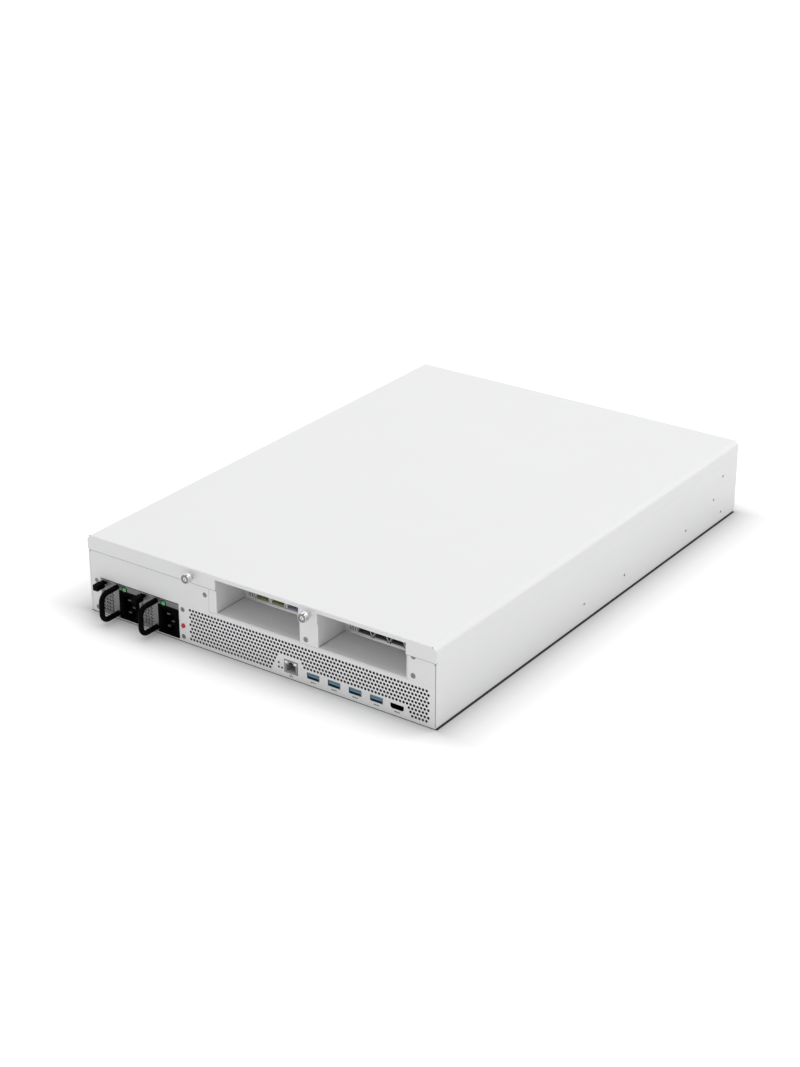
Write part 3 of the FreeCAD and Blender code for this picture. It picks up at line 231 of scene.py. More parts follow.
class Shape:
    """A mesh under construction. Places are in millimetres, and each face has the index of its finish."""

    def __init__(self):
        self.bm = bmesh.new()

    def face(self, corners, finish):
        made = self.bm.faces.new(corners)
        made.material_index = finish

    def join(self, rings, finish, closed=True):
        """Bridges rings of equal length, each to the next."""
        for lower, upper in zip(rings, rings[1:]):
            count = len(lower)
            for i in range(count if closed else count - 1):
                j = (i + 1) % count
                self.face([lower[i], lower[j], upper[j], upper[i]], finish)

    def ring(self, outline, axis, level):
        """Points of an outline at a level along an axis."""
        return [self.bm.verts.new(spot(axis, level, u, v)) for u, v in outline]

    def loft(self, rings, finish=0):
        """A closed skin over rings of equal length."""
        self.face(rings[0][::-1], finish)
        self.face(rings[-1], finish)
        self.join(rings, finish)
        return self

    def prism(self, outline, axis, reach, finish=0):
        """Extrudes a closed outline along an axis."""
        return self.loft([self.ring(outline, axis, level) for level in reach], finish)

    def block(self, x, y, z, finish=0):
        return self.prism(rect(x, y), "z", z, finish)

    def cup(self, outer, inner, axis, levels, finish=0, inside=0):
        """A block along an axis with a hollow in it. Levels are those of root, mouth and hollow's floor."""
        root, mouth, floor = levels
        rings = [self.ring(outline, axis, level) for outline, level in
                 ((outer, root), (outer, mouth), (inner, mouth), (inner, floor))]
        self.face(rings[0][::-1], finish)
        self.join(rings[:3], finish)
        self.join(rings[2:], inside)
        self.face(rings[-1], inside)
        return self

    def lathe(self, profile, axis, centre=(0.0, 0.0), base=0.0, sides=16, finish=0, ripple=None):
        """Turns (radius, level) points round an axis, with levels counted from a base.

        ripple, if given, scales radii by point and side.
        """
        rings = []
        for index, (radius, level) in enumerate(profile):
            outline = []
            for i in range(sides):
                a = 2 * math.pi * i / sides
                r = radius * (ripple(index, i) if ripple else 1.0)
                outline.append((centre[0] + r * math.cos(a), centre[1] + r * math.sin(a)))
            rings.append(self.ring(outline, axis, base + level))
        return self.loft(rings, finish)

    def tube(self, path, radius, sides, finish=0):
        """A round bar along a path of points."""
        points = [Vector(p) for p in path]
        rings = []
        side = None
        for i, point in enumerate(points):
            ahead = points[min(i + 1, len(points) - 1)] - points[max(i - 1, 0)]
            ahead.normalize()
            if side is None:
                side = ahead.orthogonal().normalized()
            side = (side - ahead * side.dot(ahead)).normalized()
            up = ahead.cross(side)
            rings.append([self.bm.verts.new(point + radius * (math.cos(a) * side + math.sin(a) * up))
                          for a in (2 * math.pi * k / sides for k in range(sides))])
        return self.loft(rings, finish)

    def mesh(self, name):
        bmesh.ops.recalc_face_normals(self.bm, faces=self.bm.faces)
        bmesh.ops.scale(self.bm, vec=(MM, MM, MM), verts=self.bm.verts)
        made = bpy.data.meshes.new(name)
        self.bm.to_mesh(made)
        self.bm.free()
        return made


def smooth(mesh):
    """Smooth shading with hard edges where faces meet sharply."""
    mesh.polygons.foreach_set("use_smooth", [True] * len(mesh.polygons))
    mesh.set_sharp_from_angle(angle=SMOOTH_ANGLE)


def linked(name, data):
    """A new object in the scene."""
    thing = bpy.data.objects.new(name, data)
    bpy.context.scene.collection.objects.link(thing)
    return thing


def evaluated_mesh(thing):
    """An object's mesh with its modifiers applied."""
    return bpy.data.meshes.new_from_object(thing.evaluated_get(bpy.context.evaluated_depsgraph_get()))


def soften(piece, label, width, segments, angle):
    """Rounds the edges that are sharper than an angle."""
    bevel = piece.modifiers.new(label, "BEVEL")
    bevel.width = width
    bevel.segments = segments
    bevel.limit_method = "ANGLE"
    bevel.angle_limit = angle


def even_normals(piece):
    piece.modifiers.new("Normals", "WEIGHTED_NORMAL").keep_sharp = True


def sort_faces(mesh, sort):
    """Gives each face the finish that sort picks from its centre and normal."""
    for polygon in mesh.polygons:
        polygon.material_index = sort(polygon.center / MM, polygon.normal)


def show(name, form, finishes, nodes=(), slot=None, body=None, edge=0.0, segments=2):
    """Puts a shape or a mesh on the stage, in place of CAD nodes or beside them.

    Beside them it rides on the chassis where no other body is given. slot is not used.
    """
    mesh = form.mesh(name) if isinstance(form, Shape) else form
    piece = linked(name, mesh)
    picks = [polygon.material_index for polygon in mesh.polygons]
    mesh.materials.clear()
    for finish_name in finishes:
        mesh.materials.append(finish(finish_name))
    mesh.polygons.foreach_set("material_index", picks)
    smooth(mesh)
    if edge:
        soften(piece, "Edge", edge * MM, segments, BEVEL_ANGLE)
        even_normals(piece)
    if nodes:
        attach(piece, BODY_OF[nodes[0]])
        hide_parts(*nodes)
    else:
        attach(piece, body or "chassis")
    return piece


def cad_copy(node):
    """A merged copy of a CAD node's mesh, with its flat faces whole again."""
    bm = welded(node)
    bmesh.ops.dissolve_limit(bm, angle_limit=math.radians(1), verts=bm.verts, edges=bm.edges)
    made = bpy.data.meshes.new(node + "_copy")
    bm.to_mesh(made)
    bm.free()
    normals = made.attributes.get("custom_normal")
    if normals:
        made.attributes.remove(normals)
    for polygon in made.polygons:
        polygon.material_index = 0
    return made


def dress(node, finishes, edge=0.25, sort=None, cuts=None):
    """A copy of a CAD node with softened edges. sort gives each face its finish; cuts are taken away."""
    mesh = cad_copy(node)
    if cuts:
        mesh = cut(node, mesh, cuts)
    if sort:
        sort_faces(mesh, sort)
    show(node + "_dressed", mesh, finishes, [node], edge=edge)


# Geometry Nodes

class Graph:
    """A node tree under construction."""

    def __init__(self, tree):
        self.tree = tree

    def put(self, node, key, value):
        """Sets a node's input, or links it where the value is another node's output."""
        if isinstance(value, bpy.types.NodeSocket):
            self.tree.links.new(value, node.inputs[key])
        else:
            node.inputs[key].default_value = value

    def add(self, kind, sockets=None, **settings):
        """A new node with its settings made and its inputs filled."""
        node = self.tree.nodes.new(kind)
        for key, value in settings.items():
            setattr(node, key, value)
        for key, value in (sockets or {}).items():
            self.put(node, key, value)
        return node


class Tree(Graph):
    """A Geometry Nodes tree under construction."""

    def __init__(self, name, inputs):
        super().__init__(bpy.data.node_groups.new(name, "GeometryNodeTree"))
        face = self.tree.interface
        face.new_socket("Geometry", in_out="INPUT", socket_type="NodeSocketGeometry")
        face.new_socket("Geometry", in_out="OUTPUT", socket_type="NodeSocketGeometry")
        for label, kind in inputs:
            face.new_socket(label, in_out="INPUT", socket_type=kind)
        self.inputs = self.add("NodeGroupInput").outputs
        self.leave = self.add("NodeGroupOutput")

    def end(self, geometry):
        """Realizes, sets the material and joins the output."""
        whole = self.add("GeometryNodeRealizeInstances", {"Geometry": geometry})
        coated = self.add("GeometryNodeSetMaterial", {"Geometry": whole.outputs[0],
                                                      "Material": self.inputs["Material"]})
        self.put(self.leave, 0, coated.outputs[0])
        return self.tree


def copies_tree():
    """Copies of one shape at points, turned and sized by the points' own attributes."""
    name = "Copies at places"
    if name in bpy.data.node_groups:
        return bpy.data.node_groups[name]
    tree = Tree(name, [("Shape", "NodeSocketObject"), ("Material", "NodeSocketMaterial")])
    shape = tree.add("GeometryNodeObjectInfo", {"Object": tree.inputs["Shape"]})
    turn = tree.add("GeometryNodeInputNamedAttribute", {"Name": "turn"}, data_type="FLOAT_VECTOR")
    size = tree.add("GeometryNodeInputNamedAttribute", {"Name": "size"}, data_type="FLOAT_VECTOR")
    rotation = tree.add("FunctionNodeEulerToRotation", {"Euler": turn.outputs["Attribute"]})
    copies = tree.add("GeometryNodeInstanceOnPoints", {
        "Points": tree.inputs["Geometry"], "Instance": shape.outputs["Geometry"],
        "Rotation": rotation.outputs[0], "Scale": size.outputs["Attribute"]})
    return tree.end(copies.outputs[0])


def perforate_tree():
    """Round holes along Y at points through a plate, together with the plate's other openings."""
    name = "Perforated sheet"
    if name in bpy.data.node_groups:
        return bpy.data.node_groups[name]
    tree = Tree(name, [("Plate", "NodeSocketObject"), ("Openings", "NodeSocketObject"),
                       ("Hole diameter", "NodeSocketFloat"), ("Sides", "NodeSocketInt"),
                       ("Depth", "NodeSocketFloat"), ("Material", "NodeSocketMaterial")])
    plate = tree.add("GeometryNodeObjectInfo", {"Object": tree.inputs["Plate"]})
    openings = tree.add("GeometryNodeObjectInfo", {"Object": tree.inputs["Openings"]})
    half = tree.add("ShaderNodeMath", {0: tree.inputs["Hole diameter"], 1: 0.5}, operation="MULTIPLY")
    drill = tree.add("GeometryNodeMeshCylinder", {
        "Vertices": tree.inputs["Sides"], "Radius": half.outputs[0], "Depth": tree.inputs["Depth"]})
    lying = tree.add("GeometryNodeTransform", {"Geometry": drill.outputs["Mesh"],
                                               "Rotation": (math.pi / 2, 0.0, 0.0)})
    drills = tree.add("GeometryNodeInstanceOnPoints", {"Points": tree.inputs["Geometry"],
                                                       "Instance": lying.outputs[0]})
    holes = tree.add("GeometryNodeRealizeInstances", {"Geometry": drills.outputs[0]})
    drilled = tree.add("GeometryNodeMeshBoolean", {"Mesh 1": plate.outputs["Geometry"]},
                       operation="DIFFERENCE", solver="MANIFOLD")
    for tool in (openings.outputs["Geometry"], holes.outputs[0]):
        tree.put(drilled, "Mesh 2", tool)
    return tree.end(drilled.outputs["Mesh"])


def point_mesh(name, places, turns=None, sizes=None):
    """Loose points in millimetres, with the turn and size that each copy takes."""
    mesh = bpy.data.meshes.new(name)
    mesh.from_pydata([Vector(p) * MM for p in places], [], [])
    wanted = (("turn", turns, (0.0, 0.0, 0.0)), ("size", sizes, (1.0, 1.0, 1.0)))
    for label, values, plain in wanted:
        layer = mesh.attributes.new(label, "FLOAT_VECTOR", "POINT")
        for i in range(len(places)):
            layer.data[i].vector = values[i] if values else plain
    return mesh


def grow(name, tree, mesh, values):
    """Runs a tree on a mesh and gives back the result as a plain mesh."""
    holder = linked(name + "_points", mesh)
    modifier = holder.modifiers.new("Nodes", "NODES")
    modifier.node_group = tree
    for item in tree.interface.items_tree:
        if item.item_type == "SOCKET" and item.in_out == "INPUT" and item.name in values:
            modifier[item.identifier] = values[item.name]
    made = evaluated_mesh(holder)
    made.name = name
    holder.modifiers.remove(modifier)
    bpy.data.objects.remove(holder)
    return made


def repeat(name, shape, places, finish_name, turns=None, sizes=None, **where):
    """Shows one mesh of copies of a shape at places in millimetres."""
    model = linked(name + "_shape", shape.mesh(name + "_shape"))
    points = point_mesh(name + "_places", places, turns, sizes)
    mesh = grow(name, copies_tree(), points, {"Shape": model, "Material": finish(finish_name)})
    bpy.data.objects.remove(model)
    show(name, mesh, [finish_name], **where)


def cut(name, mesh, tool):
    """Takes a shape away from a mesh, and gives back the rest as a plain mesh."""
    base = linked(name + "_base", mesh)
    cutter = linked(name + "_cuts", tool.mesh(name + "_cuts"))
    boolean = base.modifiers.new("Cut", "BOOLEAN")
    boolean.object = cutter
    boolean.solver = "EXACT"
    made = evaluated_mesh(base)
    bpy.data.objects.remove(base)
    bpy.data.objects.remove(cutter)
    return made


# Finishes

class Nodes(Graph):
    """A material's nodes under construction."""

    def __init__(self, name):
        self.material = bpy.data.materials.new(name)
        self.material.use_nodes = True
        super().__init__(self.material.node_tree)
        self.shader = self.tree.nodes["Principled BSDF"]
        self.place = self.add("ShaderNodeTexCoord").outputs["Object"]

    def noise(self, grain, detail=3.0, stretch=(1.0, 1.0, 1.0)):
        """Noise whose features are about a grain across, in millimetres."""
        mapped = self.add("ShaderNodeMapping", {"Vector": self.place, "Scale": stretch})
        return self.add("ShaderNodeTexNoise", {"Vector": mapped.outputs[0], "Scale": 1.0 / (grain * MM),
                                               "Detail": detail}).outputs["Fac"]

    def ramp(self, factor, stops):
        node = self.add("ShaderNodeValToRGB", {"Fac": factor})
        bands = node.color_ramp.elements
        while len(bands) < len(stops):
            bands.new(0.5)
        for band, (position, colour) in zip(bands, stops):
            band.position = position
            band.color = (*colour, 1.0)
        return node.outputs["Color"]

    def spread(self, factor, low, high):
        return self.add("ShaderNodeMapRange", {"Value": factor, "To Min": low, "To Max": high}).outputs[0]

    def relief(self, height, strength, depth):
        bump = self.add("ShaderNodeBump", {"Height": height, "Strength": strength, "Distance": depth * MM})
        self.put(self.shader, "Normal", bump.outputs[0])

    def mixed(self, factor, first, second, kind="MIX"):
        node = self.add("ShaderNodeMix", data_type="RGBA", blend_type=kind)
        for index, value in ((0, factor), (6, first), (7, second)):
            self.put(node, index, value)
        return node.outputs[2]


def shade(colour, factor):
    return tuple(min(1.0, c * factor) for c in colour)


Coat = namedtuple("Coat", "colour roughness metallic grain tone relief")

# A colour is three shares, or the path of the setting that holds it. Grain is in millimetres.
COATS = {
    "white powder coat": Coat("enclosure.paint", 0.43, 0.0, 0.7, 0.012, 0.2),
    "grey bay coat": Coat("enclosure.bay_paint", 0.55, 0.0, 0.7, 0.03, 0.2),
    "black moulded plastic": Coat("fittings.plastic", 0.6, 0.0, 0.35, 0.25, 0.3),
    "matt black plastic": Coat((0.02, 0.02, 0.021), 0.62, 0.0, 0.4, 0.2, 0.3),
    "carrier plastic": Coat((0.05, 0.051, 0.054), 0.5, 0.0, 0.4, 0.12, 0.25),
    "red plastic": Coat("fittings.alarm", 0.35, 0.0, 0.4, 0.06, 0.1),
    "blue tongue": Coat("fittings.tongue", 0.4, 0.0, 0.4, 0.08, 0.1),
    "grey jack moulding": Coat((0.34, 0.34, 0.343), 0.5, 0.0, 0.4, 0.10, 0.1),
    "dark socket moulding": Coat((0.018, 0.040, 0.055), 0.5, 0.0, 0.4, 0.10, 0.1),
    "olive connector": Coat((0.27, 0.29, 0.125), 0.5, 0.0, 0.5, 0.12, 0.1),
    "slate connector": Coat((0.26, 0.27, 0.37), 0.5, 0.0, 0.5, 0.12, 0.1),
    "moulded chip": Coat((0.022, 0.022, 0.024), 0.55, 0.0, 0.3, 0.2, 0.2),
    "tan ceramic": Coat((0.36, 0.26, 0.15), 0.45, 0.0, 0.3, 0.15, 0.1),
    "dark grey coat": Coat((0.055, 0.057, 0.06), 0.5, 0.0, 0.5, 0.10, 0.2),
    "grey marking ink": Coat((0.06, 0.06, 0.062), 0.7, 0.0, 0.3, 0.1, 0.05),
    "seam shade": Coat((0.10, 0.10, 0.102), 0.8, 0.0, 0.5, 0.10, 0.05),
    "shaded hole wall": Coat((0.016, 0.016, 0.017), 0.8, 0.0, 0.5, 0.10, 0.1),
    "unlit hollow": Coat((0.002, 0.002, 0.002), 0.9, 0.0, 0.5, 0.2, 0.05),
    "green lens": Coat("fittings.lamp", 0.2, 0.0, 0.5, 0.05, 0.02),
    "dark green ring": Coat((0.003, 0.022, 0.004), 0.35, 0.0, 0.4, 0.1, 0.05),
    "pale light pipe": Coat((0.74, 0.76, 0.78), 0.25, 0.0, 0.5, 0.04, 0.03),
    "zinc plated steel": Coat((0.46, 0.47, 0.485), 0.40, 0.9, 2.2, 0.10, 0.06),
    "grey steel": Coat((0.30, 0.30, 0.31), 0.45, 0.75, 1.4, 0.10, 0.08),
    "supply case steel": Coat((0.22, 0.22, 0.225), 0.45, 0.75, 1.4, 0.10, 0.08),
    "dull screw steel": Coat((0.24, 0.24, 0.245), 0.42, 0.85, 0.4, 0.10, 0.12),
    "dull pin metal": Coat((0.13, 0.13, 0.135), 0.35, 0.9, 0.4, 0.08, 0.05),
    "pale cage metal": Coat((0.80, 0.80, 0.805), 0.42, 0.1, 0.8, 0.06, 0.08),
    # Grey of the knobs' sunk rings; on the bays' inner folds the same grey is painted shade.
    "turned grey ring": Coat((0.27, 0.27, 0.275), 0.42, 0.5, 0.4, 0.06, 0.05),
    "satin nickel": Coat((0.74, 0.74, 0.735), 0.38, 0.75, 0.5, 0.04, 0.03),
    "brass": Coat((0.62, 0.42, 0.14), 0.30, 1.0, 0.5, 0.08, 0.05),
    "gold contacts": Coat((0.80, 0.55, 0.20), 0.25, 1.0, 0.3, 0.05, 0.03),
    "extruded aluminium": Coat((0.62, 0.63, 0.64), 0.36, 1.0, 0.6, 0.05, 0.08),
    "cast aluminium": Coat((0.52, 0.53, 0.54), 0.48, 0.9, 0.8, 0.06, 0.2),
}
DULLED = {"black moulded plastic": 0.03, "unlit hollow": 0.02, "dark green ring": 0.1,
          "shaded hole wall": 0.04}
# The pale plastic's faint glow stands for lamp light in the lamp windows and rings, and is partly painted
# light that lifts the light pipes out of their shade; on the memory latches, which are no lamps, it is
# painted light.
GLOWS = {"green lens": ("fittings.lamp", 0.25), "pale light pipe": ((1.0, 1.0, 1.0), 0.1)}
GLAZES = {"green lens": 0.3}
DRAWN = {"extruded aluminium": (1.0, 0.05, 1.0)}
DRIFT_GRAIN = 90.0
RELIEF_DEPTH = 0.02
BOARD = "circuit board"


def tint(colour):
    """A colour as given, or from the setting at a path."""
    return tuple(looks().path_resolve(colour)) if isinstance(colour, str) else colour


def coat(name):
    """A plain coat or metal: fine grain in its colour, gloss and surface, and slow changes of tone."""
    nodes = Nodes(name)
    shader = nodes.shader
    look = COATS[name]
    colour = tint(look.colour)
    nodes.put(shader, "Metallic", look.metallic)
    if name in DULLED:
        nodes.put(shader, "Specular IOR Level", DULLED[name])
    if name in GLAZES:
        nodes.put(shader, "Coat Weight", GLAZES[name])
    if name in GLOWS:
        light, strength = GLOWS[name]
        nodes.put(shader, "Emission Color", (*tint(light), 1.0))
        nodes.put(shader, "Emission Strength", strength)
    fine = nodes.noise(look.grain, 3.0, DRAWN.get(name, (1.0, 1.0, 1.0)))
    slow = nodes.noise(DRIFT_GRAIN, 2.0)
    tone = look.tone
    grained = nodes.ramp(fine, [(0.3, shade(colour, 1 - tone)), (0.7, shade(colour, 1 + tone))])
    drift = nodes.ramp(slow, [(0.35, (1 - tone / 2,) * 3), (0.65, (1.0, 1.0, 1.0))])
    nodes.put(shader, "Base Color", nodes.mixed(1.0, grained, drift, "MULTIPLY"))
    rough = look.roughness
    nodes.put(shader, "Roughness", nodes.spread(fine, rough * 0.88, min(1.0, rough * 1.12)))
    nodes.relief(fine, look.relief, RELIEF_DEPTH)
    return nodes.material


def board_mask():
    """Solder mask over a web of fine traces, with small bare pads."""
    nodes = Nodes(BOARD)
    colour = tuple(looks().fittings.board)
    shader = nodes.shader
    nodes.put(shader, "Specular IOR Level", 0.5)
    tracks = nodes.add("ShaderNodeTexBrick", {
        "Vector": nodes.place, "Scale": 170.0, "Mortar Size": 0.035, "Mortar Smooth": 0.3,
        "Color1": (*colour, 1.0), "Color2": (*shade(colour, 0.82), 1.0),
        "Mortar": (*shade(colour, 1.9), 1.0)})
    cells = nodes.add("ShaderNodeTexVoronoi", {"Vector": nodes.place, "Scale": 260.0},
                      distance="CHEBYCHEV").outputs["Distance"]
    pads = nodes.ramp(cells, [(0.10, (1.0, 1.0, 1.0)), (0.13, (0.0, 0.0, 0.0))])
    nodes.put(shader, "Base Color", nodes.mixed(pads, tracks.outputs["Color"], (0.55, 0.42, 0.18, 1.0)))
    nodes.put(shader, "Roughness", nodes.spread(nodes.noise(1.5), 0.28, 0.45))
    nodes.relief(tracks.outputs["Fac"], 0.25, 0.03)
    return nodes.material


def finish(name):
    """A material by its name, made when it is first asked for."""
    known = bpy.data.materials.get(name)
    if known:
        return known
    return board_mask() if name == BOARD else coat(name)


# Enclosure

SHEET = 1.2
SEAM = 0.2
COVER_BEVEL = 4.2
SKIRT_NOTCH = 4.3
FOLD_ANGLE = math.radians(30)
RIM_ANGLE = math.radians(60)
SLIT_WIDTH = 0.5
SLIT_DEPTH = 0.9
SLIT_HEIGHT = 0.8
SLIT_PROUD = 0.03
BAY_FLANGE = 10.0
BAY_WIDTH = 105.2


def bay_spans():
    """The two card bays' reaches along X."""
    left, right = inset(bounds("card_bays").x, BAY_FLANGE, SHEET)
    return [(left, left + BAY_WIDTH), (right - BAY_WIDTH, right)]


def make_cover():
    """A bent sheet with a notched skirt, and dark blocks of painted shade for a slit at each place where
    the skirt meets the bevels.
    """
    cover = bounds("top_cover")
    edge = cover.x[1]
    low, top = cover.z
    rear = cover.y[0]
    half = [(edge, low), (edge, top - COVER_BEVEL), (edge - COVER_BEVEL, top)]
    profile = half + [(-x, z) for x, z in reversed(half)]
    shape = Shape()
    rings = [shape.ring(profile, "y", y) for y in cover.y]
    shape.join(rings, 0, closed=False)
    hem = []
    for left, right in bay_spans():
        hem += [(left, low), (left, top - SKIRT_NOTCH), (right, top - SKIRT_NOTCH), (right, low)]
    shape.face(rings[0] + shape.ring(hem, "y", rear), 0)
    piece = show("cover_sheet", shape, ["white powder coat"], ["top_cover"])
    setting = looks().enclosure
    soften(piece, "Folds", setting.fold, 4, FOLD_ANGLE)
    wall = piece.modifiers.new("Sheet", "SOLIDIFY")
    wall.thickness = SHEET * MM
    wall.offset = -1.0
    wall.use_even_offset = True
    soften(piece, "Edge", setting.edge, 2, RIM_ANGLE)
    even_normals(piece)
    # Nothing is cut there: dark blocks just proud of the skirt paint the shade of a slit.
    slit_shade = Shape()
    for x in (-edge + COVER_BEVEL, edge - COVER_BEVEL):
        slit_shade.block(span(x, SLIT_WIDTH), (rear - SLIT_PROUD, rear + SLIT_DEPTH),
                    (top - SLIT_HEIGHT, top + SLIT_PROUD))
    show("skirt_slits", slit_shade, ["seam shade"], slot="dark_steel", body=BODY_OF["top_cover"])


class RACK_OT_cover(Operator):
    """Folds the cover from one sheet, with its notched skirt over the card bays"""
    bl_idname = "rack_server.cover"
    bl_label = "Top Cover"

    def execute(self, context):
        make_cover()
        return {"FINISHED"}


STRIP_WIDTH = 1.6
STRIP_INSET = 0.9
STRIP_END = 2.0
STRIP_Z = (-1.8, -0.1)


class RACK_OT_tray(Operator):
    """Paints the folded chassis tray, and closes the gap under the cover's hems"""
    bl_idname = "rack_server.tray"
    bl_label = "Chassis Tray"

    def execute(self, context):
        dress("chassis_tray", ["white powder coat"], 0.3)
        tray = bounds("chassis_tray")
        hem = bounds("top_cover").z[0]
        strips = Shape()
        for side in (-1, 1):
            x = side * (tray.x[1] - STRIP_INSET)
            strips.block(span(x, STRIP_WIDTH), inset(tray.y, STRIP_END), beyond(hem, STRIP_Z))
        show("side_seams", strips, ["white powder coat"], slot="white_steel")
        return {"FINISHED"}


SCREW_RADIUS = 2.7
SCREW_GAP = 0.1
SHEET_SCREWS = 5
VENT_PITCH = 4.117
VENT_ROW = 4.13
VENT_ROWS = 9
VENT_COLUMNS = 72
VENT_FIRST = (4.2, 5.54)
VENT_FIELD = {"left": 107.1, "right": 280.0, "jack": 148.2}
VENT_PORT_ROWS = 3
VENT_JACK_ROWS = 5
PORT_GAP = 0.3
ALARM_RADIUS = 2.4
USB_HEIGHT = 6.2
STATUS_HOLES = [(30.1, 14.2), (30.1, 9.2), (34.1, 9.2)]
STATUS_HOLE = 2.4
HDMI_RISE = 1.4
HDMI_TAPER = 1.6
NARROWING = SHEET + 2 * PORT_GAP
NARROW_RISE = 25.0
# Sizes of the painted shade lines under the skirt's hem and along the right wall.
SHADE_LINE_PROUD = 0.15
SHADE_LINE_RISE = 0.4
WALL_SHADE_LINE = (-0.1, 0.4)
WALL_SHADE_LINE_PROUD = 0.05


def is_vent(x, rank):
    """The holes leave a field with slanted ends free round the connectors; x is from the panel's left."""
    lean = VENT_PITCH / 2
    spare = lean / 2
    if rank >= VENT_JACK_ROWS or x < VENT_FIELD["left"] + rank * lean + spare:
        return True
    if rank >= VENT_PORT_ROWS:
        return x > VENT_FIELD["jack"] + (VENT_JACK_ROWS - 1 - rank) * lean - spare
    return x > VENT_FIELD["right"] - rank * lean - spare


def vent_places(left, y):
    """Middles of the vent holes, in staggered rows from the lowest up."""
    places = []
    for rank in range(VENT_ROWS):
        for column in range(VENT_COLUMNS):
            x = VENT_FIRST[0] + (column + (rank % 2) / 2) * VENT_PITCH
            if is_vent(x, rank):
                places.append((left + x, y, VENT_FIRST[1] + rank * VENT_ROW))
    return places


def hdmi_outline(grow_by=0.0):
    socket = bounds("hdmi_socket")
    left, right = inset(socket.x, -grow_by)
    low, high = inset((socket.z[0] + HDMI_RISE, socket.z[1]), -grow_by)
    return [(left + HDMI_TAPER, low), (right - HDMI_TAPER, low), (right, low + HDMI_TAPER), (right, high),
            (left, high), (left, low + HDMI_TAPER)]


def rear_outline(strip):
    """Outline of the rear sheet: round the supplies, under the card bays and up their left side."""
    low, high = strip.z
    wide = strip.x[1]
    narrow = wide - NARROWING
    step = high + NARROW_RISE
    top = bounds("psu_panel").z[1]
    bay = bounds("card_bays").x[0] - SEAM
    left = bounds("psu_case_left").x[0] - PORT_GAP
    right = bounds("psu_case_right").x[1] + PORT_GAP
    over = bounds("psu_case_left").z[1] + 3 * PORT_GAP
    return [(-wide, low), (left, low), (left, over), (right, over), (right, low), (wide, low), (wide, high),
            (bay, high), (bay, top), (-narrow, top), (-narrow, step), (-wide, step)]


def rear_openings(strip):
    """Openings of the sockets, the alarm button, the small lamps and the flush screws."""
    through = inset(strip.y, -2.0)
    jack = bounds("lan_jack")
    cuts = Shape().block(inset(jack.x, -PORT_GAP), through, inset(jack.z, -PORT_GAP))
    for box in solids("usb_sockets"):
        tall = inset((box.z[1] - USB_HEIGHT, box.z[1]), -PORT_GAP)
        cuts.prism(rounded(inset(box.x, -PORT_GAP), tall, 0.5), "y", through)
    cuts.prism(hdmi_outline(PORT_GAP), "y", through)
    alarm = bounds("alarm_button").middle
    rounds = [(alarm.x, alarm.z, ALARM_RADIUS + PORT_GAP / 2, 32)]
    rounds += [(x, z, STATUS_HOLE / 2, 16) for x, z in STATUS_HOLES]
    for box in solids("rear_screws")[:SHEET_SCREWS]:
        rounds.append((box.middle.x, box.middle.z, SCREW_RADIUS + SCREW_GAP, 24))
    for x, z, radius, sides in rounds:
        cuts.prism(circle(x, z, radius, sides), "y", through)
    return cuts


def make_rear_sheet(strip):
    """One sheet stands for both rear panels, because the real sheet has no seam between them."""
    plate = linked("rear_plate", Shape().prism(rear_outline(strip), "y", strip.y).mesh("rear_plate"))
    openings = linked("rear_openings", rear_openings(strip).mesh("rear_openings"))
    setting = looks().enclosure
    places = point_mesh("vent_places", vent_places(strip.x[0], strip.middle.y))
    mesh = grow("rear_sheet", perforate_tree(), places, {
        "Plate": plate, "Openings": openings, "Hole diameter": setting.vent_hole,
        "Sides": setting.vent_sides, "Depth": 4 * SHEET * MM, "Material": finish("white powder coat")})
    bpy.data.objects.remove(plate)
    bpy.data.objects.remove(openings)
    low, high = inset(strip.z, 1.0)
    left, right = inset(strip.x, 0.0, 1.0)

    def hole_walls(centre, normal):
        return int(low < centre.z < high and left < centre.x < right and abs(normal.y) < 0.5)

    # The vent holes' walls take a near-black coat: painted shade inside the holes.
    sort_faces(mesh, hole_walls)
    show("rear_sheet", mesh, ["white powder coat", "shaded hole wall"], ["psu_panel", "io_panel"])


def make_rear_shade_lines(strip):
    """Painted shade: dark strips under the skirt's hem and along the right wall, standing for the shadows
    in the joints where the sheets meet.
    """
    hem = bounds("top_cover").z[0]
    rear = strip.y[0]
    wide = strip.x[1]
    narrow = wide - NARROWING
    first, last = bay_spans()
    shade_lines = Shape()
    for x in ((-narrow, first[0]), (last[1], narrow)):
        shade_lines.block(x, (rear - SHADE_LINE_PROUD, rear), (hem - SHEET, hem + SHADE_LINE_RISE))
    shade_lines.block(beyond(wide, WALL_SHADE_LINE), (rear - WALL_SHADE_LINE_PROUD, strip.y[1]), (strip.z[0], hem - SHEET))
    show("rear_seams", shade_lines, ["seam shade"], slot="dark_steel")


class RACK_OT_rear_sheet(Operator):
    """Cuts the rear sheet, with its rows of vent holes and its connector openings"""
    bl_idname = "rack_server.rear_sheet"
    bl_label = "Rear Sheet"

    def execute(self, context):
        strip = bounds("io_panel")
        make_rear_sheet(strip)
        make_rear_shade_lines(strip)
        dress("rear_corner", ["white powder coat"])
        return {"FINISHED"}


CAGES = ("left_cages", "right_cages")
CAGE_WALL = 0.8
CONNECTOR_GAP = 0.1
CONNECTOR_START = 0.8
CONNECTOR_END = 30.0
CONNECTOR_SHELF = 1.9
CONNECTOR_RIBS = 4
CONNECTOR_RIB = 2.2
CONNECTOR_RIB_START = 2.5
CONNECTOR_BACK = 2.0
CONNECTOR_KINDS = ((0, 0, 1, 1), (2, 2, 2, 2))


